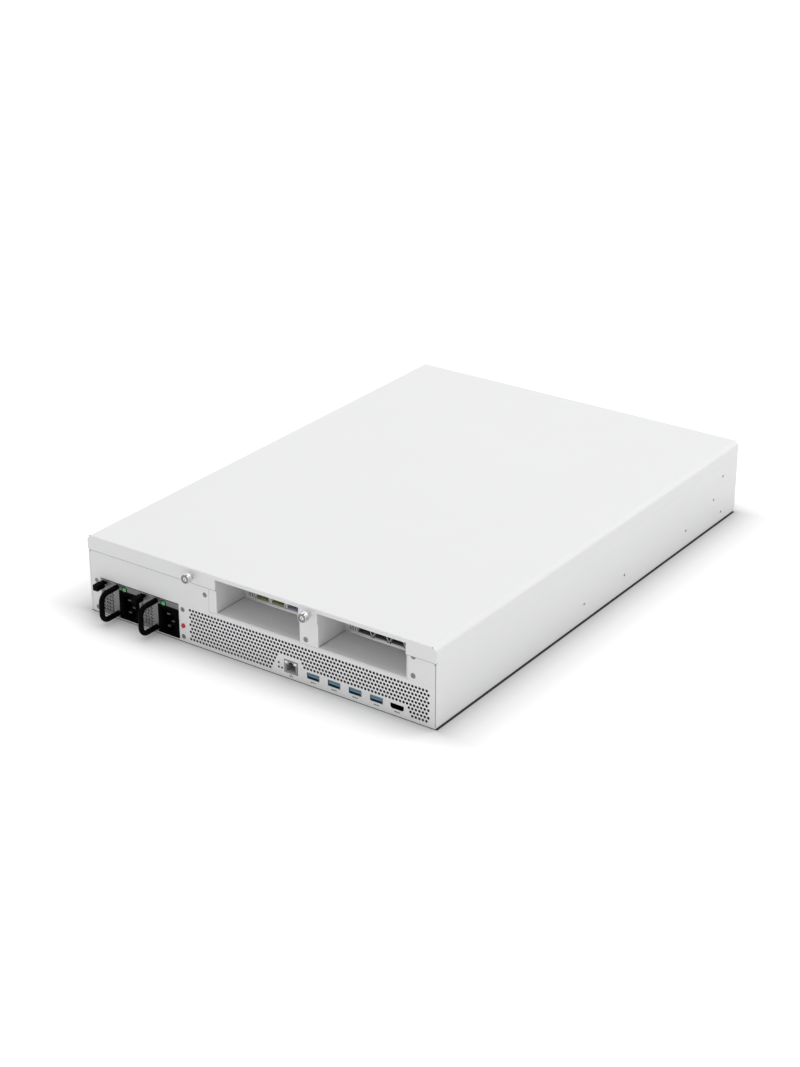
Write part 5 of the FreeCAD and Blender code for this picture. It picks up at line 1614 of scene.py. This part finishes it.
def make_board_chips(plate, cpu, taken):
    """Large chips spread over the board, and rows of small ones."""
    top = plate.z[1]
    left, right = plate.x
    near = plate.y[0]
    spots = [(left + 24.0, near + 60.0), (right - 40.0, near + 70.0), (right - 18.0, cpu.y - 90.0),
             (right - 40.0, cpu.y - 60.0), (left + 44.0, cpu.y - 96.0), (right - 24.0, cpu.y - 20.0)]
    chips = [(x, y, top) for x, y in spots]
    stand("board_chips", upright_block(*CHIP), CHIP, chips, "moulded chip", "black_plastic", taken)
    flats = row((left + 12.0, near + 90.0, top), (9.0, 0.0, 0.0), 4)
    flats += row((right - 34.0, cpu.y + 8.0, top), (0.0, 10.0, 0.0), 4)
    flats += row((left + 44.0, cpu.y + 20.0, top), (0.0, 10.0, 0.0), 4)
    stand("board_small_chips", upright_block(*SMALL_CHIP), SMALL_CHIP, flats, "moulded chip",
          "black_plastic", taken, 0.2)


def make_board_fittings(plate, cpu, taken):
    """Card slots, power plugs, the clock's cell, the hub's cooler and the screws on the posts."""
    top = plate.z[1]
    left, right = plate.x
    near, far = plate.y
    slot = upright_block(*SLOT)
    slot.block(span(0.0, SLOT_MOUTH[0]), span(0.0, SLOT_MOUTH[1]), (SLOT[2], SLOT[2] + SLOT_MOUTH[2]))
    slots = row((right - 16.0, near + 150.0, top), (-19.0, 0.0, 0.0), 2)
    stand("board_slots", slot, SLOT, slots, "matt black plastic", "black_plastic", taken)
    plugs = [(x, far - 12.0, top) for x in (left + 34.0, right - 32.0)]
    stand("board_power_plugs", plug(PLUG_CELLS, 2), (52.0, 10.0), plugs, "matt black plastic",
          "black_plastic", taken, 0.0)
    stand("board_clock_cell", Shape().lathe(CELL, "z", sides=40), (23.0, 23.0),
          [(left + 26.0, cpu.y - 66.0, top)], "satin nickel", "chip_lid", taken, 0.0)
    fins = upright_block(HUB_COOLER, HUB_COOLER, HUB_BASE)
    for i in range(HUB_FINS):
        x = (i - (HUB_FINS - 1) / 2) * HUB_FIN_PITCH
        fins.block(span(x, 1.0), span(0.0, HUB_COOLER), (HUB_BASE, HUB_TOP))
    stand("board_hub_cooler", fins, (HUB_COOLER, HUB_COOLER), [(left + 34.0, near + 130.0, top)],
          "extruded aluminium", "fin_aluminium", taken, 0.1)
    posts = [(box.middle.x, box.middle.y, top) for box in solids("board_standoffs")]
    stand("board_screws", Shape().lathe(POST_SCREW, "z", sides=18), (7.0, 7.0), posts, "zinc plated steel",
          "screw_steel", taken, 0.0)


MEMORY_CHIPS = 9
MEMORY_CHIP = (1.1, 9.4, 12.0)
MEMORY_THICK = 1.3
MEMORY_END = 5.0
MEMORY_DROP = 12.0
MEMORY_NOTCH = [(0.0, 14.0), (1.6, 15.0), (1.6, 17.0), (0.0, 18.0)]
KEY_SHIFT = 4.0
KEY_HALF = 1.2
KEY_HEIGHT = 3.6
MEMORY_LATCH = [(-2.2, -6.0), (2.0, -6.0), (2.4, 5.0), (0.6, 9.0), (-0.8, 9.0), (-2.6, 4.0)]
MEMORY_LATCH_WIDTH = 5.4
MEMORY_LATCH_INSET = 1.6
MEMORY_LATCH_RISE = 1.5


def module_outline(near, far, low, high):
    """A memory module with a key notch below and a notch in each end."""
    key = (near + far) / 2 - KEY_SHIFT
    outline = [(near, low), (key - KEY_HALF, low), (key - KEY_HALF, low + KEY_HEIGHT),
               (key + KEY_HALF, low + KEY_HEIGHT), (key + KEY_HALF, low), (far, low)]
    outline += [(far - deep, low + rise) for deep, rise in MEMORY_NOTCH] + [(far, high), (near, high)]
    return outline + [(near + deep, low + rise) for deep, rise in reversed(MEMORY_NOTCH)]


def make_memory():
    """Bare modules with a row of chips on each side, in sockets with end latches."""
    plates = Shape()
    chips = []
    for box in solids("memory_modules"):
        plates.prism(module_outline(*box.y, *box.z), "x", span(box.middle.x, MEMORY_THICK))
        start, end = inset(box.y, MEMORY_END)
        pitch = (end - start) / MEMORY_CHIPS
        for i in range(MEMORY_CHIPS):
            for x in span(box.middle.x, MEMORY_THICK + MEMORY_CHIP[0]):
                chips.append((x, start + (i + 0.5) * pitch, box.z[1] - MEMORY_DROP))
    show("memory_boards", plates, [BOARD], ["memory_modules"])
    chip = Shape().block(*(span(0.0, size) for size in MEMORY_CHIP))
    repeat("memory_chips", chip, chips, "moulded chip", slot="black_plastic", edge=0.15)
    dress("memory_sockets", ["matt black plastic"], 0.2)
    places, turns = [], []
    for box in solids("memory_sockets"):
        for end, turn in zip(inset(box.y, MEMORY_LATCH_INSET), (math.pi, 0.0)):
            places.append((box.middle.x, end, box.z[1] + MEMORY_LATCH_RISE))
            turns.append((0.0, 0.0, turn))
    latch = Shape().prism(MEMORY_LATCH, "x", span(0.0, MEMORY_LATCH_WIDTH))
    # The pale latches glow faintly: painted light, as they are no lamps.
    repeat("memory_latches", latch, places, "pale light pipe", slot="socket_shell", turns=turns, edge=0.3)


CARD_THICK = 3.0
BOARD_THICK = 1.6


def make_cards():
    """Network cards under bare coolers, on risers with black sockets."""
    cards = solids("network_cards")
    plates = [box for box in cards if box.z[1] - box.z[0] < CARD_THICK]
    coolers = [box for box in cards if box.z[1] - box.z[0] > CARD_THICK]
    top = plates[0].z[1]
    dress("network_cards", [BOARD, "extruded aluminium"], 0.1,
          lambda centre, normal: int(centre.z > top + 0.05))
    for i, (plate, node) in enumerate(zip(plates, CAGES)):
        scatter("card_%d" % (i + 1), plate, coolers + [bounds(node)], CARD_PARTS, i)
    risers = solids("card_risers")
    left, right = inset((risers[0].x[1], risers[1].x[0]), -BOARD_THICK - 0.01)
    dress("card_risers", [BOARD, "matt black plastic"], 0.1,
          lambda centre, normal: int(not left < centre.x < right))


class RACK_OT_boards(Operator):
    """Dresses the boards and everything that stands on them"""
    bl_idname = "rack_server.boards"
    bl_label = "Boards"

    def execute(self, context):
        dress("motherboard", [BOARD], 0.1)
        dress("board_standoffs", ["brass"], 0.15)
        plate = bounds("motherboard")
        cpu = bounds("processor").middle
        taken = [box for node in STANDING for box in solids(node)]
        make_processor_parts(plate, cpu, taken)
        make_board_chips(plate, cpu, taken)
        make_board_fittings(plate, cpu, taken)
        scatter("board", plate, taken, SMALL_PARTS, BOARD_SEED)
        dress("heatsink", ["extruded aluminium"], 0.12)
        dress("processor", ["satin nickel"], 0.2)
        make_memory()
        make_cards()
        face = bounds("drive_backplane").y[0] + BOARD_THICK
        dress("drive_backplane", [BOARD, "matt black plastic"], 0.1,
              lambda centre, normal: int(centre.y > face + 0.05))
        return {"FINISHED"}


# Fans

FAN_SECTIONS = 6
FAN_CHORD = 8
BLADE_ROOT = 0.97
BLADE_RISE = (0.86, 0.70)
BLADE_RUN = (0.62, 1.17)
BLADE_SWEEP = 0.35
BLADE_CAMBER = 0.10
BLADE_EDGE = 0.25


def blade(hub, tip, depth, thick):
    """A cambered blade about the Y axis, swept forward and flatter towards its tip."""
    shape = Shape()
    rings = []
    for k in range(FAN_SECTIONS):
        share = k / (FAN_SECTIONS - 1)
        radius = hub * BLADE_ROOT + (tip - hub * BLADE_ROOT) * share
        rise, run = (depth * (root + (end - root) * share) for root, end in (BLADE_RISE, BLADE_RUN))
        sweep = depth * BLADE_SWEEP * share * share
        sides = ([], [])
        for i in range(FAN_CHORD + 1):
            t = i / FAN_CHORD
            camber = BLADE_CAMBER * depth * math.sin(math.pi * t)
            turn = ((t - 0.5) * run + sweep) / radius
            level = (t - 0.5) * rise + camber
            half = thick * (BLADE_EDGE + (1.0 - BLADE_EDGE) * math.sin(math.pi * t)) / 2
            for side, way in zip(sides, (1, -1)):
                side.append((radius * math.cos(turn), level + way * half, radius * math.sin(turn)))
        rings.append([shape.bm.verts.new(p) for p in sides[0] + sides[1][::-1]])
    return shape.loft(rings)


TIP_SHARE = 0.985
HUB_CAP = [(0.3, 0.35), (0.36, 0.0), (0.86, 0.0), (0.97, 0.4), (1.0, 1.4)]
HUB_BACK = [(0.0, 0.6), (0.5, 0.0)]
BLADE_DEPTH = 0.92
BLADE_THICK = 0.4
BLADE_THICKENING = 1.2 / 28.0


def make_rotor(node, hub_share, blades):
    """A hub with a rounded cap, and curved blades round it."""
    box = bounds(node)
    near, far = box.y
    depth = far - near
    tip = (box.x[1] - box.x[0]) / 2 * TIP_SHARE
    hub = tip * hub_share
    profile = [(hub * share, level) for share, level in HUB_CAP]
    profile += [(hub - drop, depth - back) for drop, back in HUB_BACK]
    cap = Shape().lathe(profile, "y", (box.middle.x, box.middle.z), near, 40)
    show(node + "_hub", cap, ["matt black plastic"], [node])
    turns = [(0.0, 2 * math.pi * i / blades, 0.0) for i in range(blades)]
    one = blade(hub, tip, depth * BLADE_DEPTH, depth * BLADE_THICKENING + BLADE_THICK)
    repeat(node + "_blades", one, [box.middle] * blades, "matt black plastic", slot=SLOT_OF[node],
           body=BODY_OF[node], turns=turns)


FAN_HUB_SHARE = 17.0 / 37.0
FAN_BLADES = 7
SUPPLY_HUB_SHARE = 6.5 / 16.5
SUPPLY_BLADES = 5
FAN_SCREW_INSET = 5.0
FAN_SCREW = [(0.9, -0.2), (0.9, 1.5), (2.2, 1.7), (3.2, 0.9), (3.3, -0.2)]


class RACK_OT_fans(Operator):
    """Dresses the fan wall and frames, and makes the rotors with curved blades"""
    bl_idname = "rack_server.fans"
    bl_label = "Fans"

    def execute(self, context):
        dress("fan_wall", ["zinc plated steel"], 0.2)
        dress("fan_frames", ["matt black plastic"], 0.5)
        for i in (1, 2, 3):
            make_rotor("fan_rotor_%d" % i, FAN_HUB_SHARE, FAN_BLADES)
        for side in SIDES:
            make_rotor("psu_fan_" + side, SUPPLY_HUB_SHARE, SUPPLY_BLADES)
        places = [(x, box.y[1], z) for box in solids("fan_frames") for x in inset(box.x, FAN_SCREW_INSET)
                  for z in inset(box.z, FAN_SCREW_INSET)]
        repeat("fan_screws", Shape().lathe(FAN_SCREW, "y"), places, "dull screw steel", slot="screw_steel")
        return {"FINISHED"}


# Drives

BAYS = (1, 2, 3, 4)
BEZEL_SLOTS = 5
BEZEL_SLOT = 1.7
BEZEL_SLOT_PITCH = 3.4
BEZEL_SLOT_START = 4.0
BEZEL_SLOT_ENDS = (4.0, 9.0)
BEZEL_SLOT_ROUND = 0.8
BEZEL_SLOT_Y = (-2.6, 1.0)
LEVER_GAP = 0.3
DRIVE_LAMP = [(0.3, 0.35), (0.9, 0.3), (1.2, 0.0), (1.2, -1.0)]
DRIVE_LAMP_START = 7.0
DRIVE_LAMP_PITCH = 7.0
DRIVE_LAMP_DROP = 5.0


def make_carrier(i):
    """Carrier with vent slots and two lamps beside its lever."""
    node = "drive_carrier_%d" % i
    box = bounds(node)
    lever = bounds("drive_lever_%d" % i)
    face = lever.y[0] - LEVER_GAP
    cuts, lamps = Shape(), Shape()
    for k in range(BEZEL_SLOTS):
        wide = span(lever.x[1] + BEZEL_SLOT_START + k * BEZEL_SLOT_PITCH, BEZEL_SLOT)
        outline = rounded(wide, inset(box.z, *BEZEL_SLOT_ENDS), BEZEL_SLOT_ROUND, 3)
        cuts.prism(outline, "y", beyond(face, BEZEL_SLOT_Y))
    dress(node, ["carrier plastic"], 0.3, cuts=cuts)
    for k in range(2):
        x = lever.x[1] + DRIVE_LAMP_START + k * DRIVE_LAMP_PITCH
        lamps.lathe(DRIVE_LAMP, "y", (x, box.z[1] - DRIVE_LAMP_DROP), face, finish=k)
    show("drive_lamps_%d" % i, lamps, ["green lens", "pale light pipe"], slot="green_lens",
         body=BODY_OF[node])


LEVER_SLOTS = 7
LEVER_SLOT = (3.0, 11.0)
LEVER_SLOT_ROUND = 1.4
LEVER_SLOT_START = 14.0
LEVER_SLOT_PITCH = 6.0
WELL_X = (-19.0, -4.0)
WELL_Y = (-1.8, 1.0)
WELL_HEIGHT = 13.0
WELL_ROUND = 2.0
TAB_GAP = 0.6
TAB_Y = (-1.8, -0.7)
TAB_HEIGHT = 11.6
TAB_ROUND = 1.6
TAB_RIBS = 4
TAB_RIB = (0.9, 8.4)
TAB_RIB_START = 3.6
TAB_RIB_PITCH = 2.6
TAB_RIB_Y = (-0.8, -0.2)


def make_lever(i):
    """Vented lever with a ribbed tab in a well at its free end."""
    node = "drive_lever_%d" % i
    box = bounds(node)
    front = box.y[1]
    cuts = Shape()
    for k in range(LEVER_SLOTS):
        wide = span(box.x[0] + LEVER_SLOT_START + k * LEVER_SLOT_PITCH, LEVER_SLOT[0])
        outline = rounded(wide, span(box.middle.z, LEVER_SLOT[1]), LEVER_SLOT_ROUND)
        cuts.prism(outline, "y", inset(box.y, -1.0))
    well = beyond(box.x[1], WELL_X)
    cuts.prism(rounded(well, span(box.middle.z, WELL_HEIGHT), WELL_ROUND), "y", beyond(front, WELL_Y))
    dress(node, ["dark grey coat"], 0.35, cuts=cuts)
    outline = rounded(inset(well, TAB_GAP), span(box.middle.z, TAB_HEIGHT), TAB_ROUND)
    tab = Shape().prism(outline, "y", beyond(front, TAB_Y))
    for k in range(TAB_RIBS):
        tab.block(span(well[0] + TAB_RIB_START + k * TAB_RIB_PITCH, TAB_RIB[0]), beyond(front, TAB_RIB_Y),
                  span(box.middle.z, TAB_RIB[1]))
    show("drive_tab_%d" % i, tab, ["slate connector"], slot=SLOT_OF[node], body=BODY_OF[node], edge=0.2)


PLATTER_HUB = 52.0
LID = [(43.0, -0.6), (42.2, -0.05), (41.0, -0.05), (40.2, -0.45), (9.0, -0.45), (8.4, -0.05), (1.0, -0.05)]
LID_SCREW = [(0.8, -0.2), (0.9, 0.25), (1.9, 0.4), (2.1, 0.0), (2.1, -0.4)]
LID_SCREW_INSET = 4.0
LID_SCREW_SHIFT = 24.0
LID_INSET = 1.4
LID_PLUG_END = 6.0
LID_Z = (-1.3, -0.5)
DRIVE_BOARD_Z = (0.2, 1.6)
DRIVE_BOARD_INSET = 4.0
DRIVE_BOARD_ENDS = (2.0, 30.0)


def make_drive(i):
    """Cast drive with a stamped lid, lid screws and a board underneath."""
    node = "hard_drive_%d" % i
    box = bounds(node)
    low, top = box.z
    wide = inset(box.x, LID_INSET)
    long = inset(box.y, LID_PLUG_END, LID_INSET)
    lid = beyond(top, LID_Z)
    board = beyond(low, DRIVE_BOARD_Z)
    drive = Shape().prism(rounded(box.x, box.y, 2.0), "z", (board[1], lid[0]), 0)
    drive.prism(rounded(wide, long, 5.0), "z", lid, 1)
    drive.lathe(LID, "z", (box.middle.x, long[1] - PLATTER_HUB), top, 64, 1)
    outline = rounded(inset(wide, DRIVE_BOARD_INSET), inset(long, *DRIVE_BOARD_ENDS), 4.0)
    drive.prism(outline, "z", board, 2)
    show(node + "_body", drive, ["cast aluminium", "grey steel", BOARD], [node], edge=0.25)
    near, far = inset(long, LID_SCREW_INSET)
    places = [(x, y, lid[1]) for x in inset(wide, LID_SCREW_INSET)
              for y in (near, (long[0] + long[1]) / 2 - LID_SCREW_SHIFT, far)]
    repeat("drive_screws_%d" % i, Shape().lathe(LID_SCREW, "z"), places, "dull screw steel",
           slot="screw_steel", body=BODY_OF[node])


BEADS = 3
BEAD = (74.0, 6.0, 0.9)
BEAD_INSET = 30.0
CAGE_RIVET_SHIFT = 1.0
CAGE_RIVET = [(0.5, 0.9), (1.4, 0.7), (2.1, 0.0), (2.1, -0.1)]


def make_cage_beads():
    """Pressed beads and rivets on the drive cage's roof."""
    cage = bounds("drive_cage")
    top = cage.z[1]
    carriers = [bounds("drive_carrier_%d" % i) for i in BAYS]
    near, far = inset(cage.y, BEAD_INSET)
    pitch = (far - near) / (BEADS - 1)
    outline = rounded(span(0.0, BEAD[0]), span(0.0, BEAD[1]), BEAD[1] / 2 - 0.1)
    places = [(box.middle.x, near + k * pitch, top) for box in carriers for k in range(BEADS)]
    repeat("cage_beads", Shape().prism(outline, "z", (-0.1, BEAD[2])), places, "zinc plated steel",
           slot="zinc_steel", edge=0.7, segments=3)
    places = [(box.x[1] + CAGE_RIVET_SHIFT, y, top) for box in carriers[:-1] for y in (near, far)]
    repeat("cage_rivets", Shape().lathe(CAGE_RIVET, "z"), places, "satin nickel", slot="screw_steel")


class RACK_OT_drives(Operator):
    """Dresses the drive cage, and makes the carriers, drives and levers"""
    bl_idname = "rack_server.drives"
    bl_label = "Drives"

    def execute(self, context):
        dress("drive_cage", ["zinc plated steel"], 0.2)
        make_cage_beads()
        for i in BAYS:
            make_carrier(i)
            make_drive(i)
            make_lever(i)
        return {"FINISHED"}


INTAKE_PITCH = 2.4
INTAKE_WIRE = 0.5
INTAKE_INSET = (6.0, 4.0)
INTAKE_PROUD = 0.8
POWER_RING = [(2.3, -0.3), (2.4, 0.06), (3.2, 0.06), (3.3, -0.3)]
FRONT_LAMP = [(0.3, 0.4), (0.9, 0.35), (1.3, 0.0), (1.3, -0.6)]
FRONT_LAMP_PITCH = 6.0
FRONT_LAMP_DROP = 14.0


class RACK_OT_front(Operator):
    """Dresses the front frame, the air intake with its wire screen, and the power button"""
    bl_idname = "rack_server.front"
    bl_label = "Front"

    def execute(self, context):
        dress("front_frame", ["white powder coat"])
        dress("intake_grille", ["dark grey coat"], 0.2)
        grille = bounds("intake_grille")
        wire_screen("intake_screen", inset(grille.x, INTAKE_INSET[0]), inset(grille.z, INTAKE_INSET[1]),
                    grille.y[0] - INTAKE_PROUD, INTAKE_PITCH, INTAKE_WIRE, "dark grey coat", "dark_steel")
        dress("power_button", ["matt black plastic"])
        button = bounds("power_button")
        x, z = button.middle.x, button.middle.z
        ring = Shape().lathe(POWER_RING, "y", (x, z), button.y[1], 32)
        show("power_ring", ring, ["pale light pipe"], slot="green_lens", body=BODY_OF["power_button"])
        face = bounds("front_frame").y[1]
        lamps = Shape()
        for k, kind in enumerate((0, 1, 1)):
            place = (x + (k - 1) * FRONT_LAMP_PITCH, z - FRONT_LAMP_DROP)
            lamps.lathe(FRONT_LAMP, "y", place, face, finish=kind)
        show("front_lamps", lamps, ["green lens", "pale light pipe"], slot="green_lens")
        return {"FINISHED"}


# Stage

FLOOR_REACH = 12.0
GLOW_REACH = (1.2, 4.0)
FAR_GLOW = 0.4
# Painted shadow round the server's foot: the paper's tone by share of the shade's reach, black under the
# footprint.
FOOT_SHADE = [(0.0, 0.05), (0.003, 0.54), (0.09, 0.66), (0.22, 0.767), (0.44, 0.858), (0.78, 0.967),
              (1.0, 1.0)]


def paper(setting):
    """Pale paper with a painted shadow: greyer close to the server's foot and black under it."""
    nodes = Nodes("studio paper")

    def reckon(operation, *values):
        return nodes.add("ShaderNodeMath", dict(enumerate(values)), operation=operation).outputs[0]

    half = [(high - low) / 2 for low, high in zip(*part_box("chassis_tray"))]
    # The painted black under the footprint reaches a foot gap past the side walls, for a dark line along
    # the sides.
    half[0] += setting.foot_gap
    split = nodes.add("ShaderNodeSeparateXYZ", {0: nodes.place})
    shares = []
    for axis, reach in ((0, setting.side_shade), (1, setting.end_shade)):
        past = reckon("SUBTRACT", reckon("ABSOLUTE", split.outputs[axis]), half[axis])
        share = reckon("DIVIDE", reckon("MAXIMUM", past, 0.0), reach)
        shares.append(reckon("POWER", share, 2.0))
    away = reckon("SQRT", reckon("ADD", *shares))
    plain = tuple(setting.floor)
    tone = nodes.ramp(away, [(share, shade(plain, factor)) for share, factor in FOOT_SHADE])
    gone = nodes.add("ShaderNodeVectorMath", {0: nodes.place}, operation="LENGTH").outputs["Value"]
    glow = nodes.add("ShaderNodeMapRange", {
        "Value": gone, "From Min": GLOW_REACH[0], "From Max": GLOW_REACH[1],
        "To Min": setting.glow, "To Max": setting.glow + FAR_GLOW})
    rough = nodes.spread(nodes.noise(3.0), 0.85, 0.95)
    # The emission takes the same tone, so the painted shadow dims the paper's glow too.
    looks_of_paper = {"Base Color": tone, "Emission Color": tone, "Emission Strength": glow.outputs[0],
                      "Roughness": rough, "Specular IOR Level": 0.1}
    for key, value in looks_of_paper.items():
        nodes.put(nodes.shader, key, value)
    return nodes.material


def make_floor(setting):
    shape = Shape()
    reach = (-FLOOR_REACH / MM, FLOOR_REACH / MM)
    shape.face(shape.ring(rect(reach, reach), "z", -setting.foot_gap / MM), 0)
    mesh = shape.mesh("studio_floor")
    if mesh.polygons[0].normal.z < 0:
        mesh.flip_normals()
    mesh.materials.append(paper(setting))
    linked("studio_floor", mesh)


SOFT_BOX = 3.0
OVERHEAD_PLACE = (0.0, 0.4, 2.6)
FAR_PLACE = (3.6, 6.4, 4.5)


def make_light(name, place, power):
    """A square soft box that faces the server."""
    light = bpy.data.lights.new(name, "AREA")
    light.shape = "RECTANGLE"
    light.size = light.size_y = SOFT_BOX
    light.energy = power
    holder = linked(name, light)
    holder.location = place
    holder.rotation_euler = (-Vector(place)).to_track_quat("-Z", "Y").to_euler()


def make_world(setting):
    """A white surround, whose light on the server is dimmer than it looks itself."""
    world = bpy.data.worlds.new("studio surround")
    world.use_nodes = True
    graph = Graph(world.node_tree)
    seen = graph.add("ShaderNodeLightPath").outputs["Is Camera Ray"]
    strength = graph.add("ShaderNodeMapRange", {"Value": seen, "To Min": setting.dome, "To Max": 1.0})
    background = graph.tree.nodes["Background"]
    graph.put(background, "Color", (1.0, 1.0, 1.0, 1.0))
    graph.put(background, "Strength", strength.outputs[0])
    bpy.context.scene.world = world


def make_camera(setting):
    camera = bpy.data.cameras.new("photo camera")
    camera.lens = setting.lens
    camera.sensor_width = 36.0
    camera.sensor_fit = "AUTO"
    camera.clip_end = 60.0
    holder = linked("photo camera", camera)
    holder.location = setting.place
    holder.rotation_euler = (math.pi / 2 - setting.elevation, 0.0, setting.azimuth)
    bpy.context.scene.camera = holder


class RACK_OT_stage(Operator):
    """Lays the floor, hangs the lights and sets the camera"""
    bl_idname = "rack_server.stage"
    bl_label = "Stage"

    def execute(self, context):
        setting = looks().studio
        make_floor(setting)
        make_world(setting)
        make_light("overhead soft box", OVERHEAD_PLACE, setting.overhead)
        make_light("far soft box", FAR_PLACE, setting.far)
        make_camera(setting)
        context.scene.view_settings.view_transform = "Standard"
        return {"FINISHED"}


class RACK_PT_looks(Panel):
    """Lists the steps and the settings"""
    bl_idname = "RACK_PT_looks"
    bl_label = "Rack Server"
    bl_space_type = "VIEW_3D"
    bl_region_type = "UI"
    bl_category = "Rack Server"

    def draw(self, context):
        for step in STEPS:
            self.layout.operator(step.bl_idname)
        settings = context.scene.rack_server
        for group in (settings.enclosure, settings.fittings, settings.studio):
            for key in group.__annotations__:
                self.layout.prop(group, key)


STEPS = (RACK_OT_cover, RACK_OT_tray, RACK_OT_rear_sheet, RACK_OT_card_bays, RACK_OT_rear_screws,
         RACK_OT_thumbscrews, RACK_OT_power_supplies, RACK_OT_connectors, RACK_OT_boards, RACK_OT_fans,
         RACK_OT_drives, RACK_OT_front, RACK_OT_stage)
CLASSES = (EnclosureLooks, FittingLooks, StudioLooks, ServerLooks) + STEPS + (RACK_PT_looks,)


def register():
    for kind in CLASSES:
        bpy.utils.register_class(kind)
    bpy.types.Scene.rack_server = PointerProperty(type=ServerLooks)


def unregister():
    del bpy.types.Scene.rack_server
    for kind in reversed(CLASSES):
        bpy.utils.unregister_class(kind)


def main():
    register()
    ops = bpy.ops.rack_server
    ops.cover()
    ops.tray()
    ops.rear_sheet()
    ops.card_bays()
    ops.rear_screws()
    ops.thumbscrews()
    ops.power_supplies()
    ops.connectors()
    ops.boards()
    ops.fans()
    ops.drives()
    ops.front()
    ops.stage()


if __name__ == "__main__":
    main()
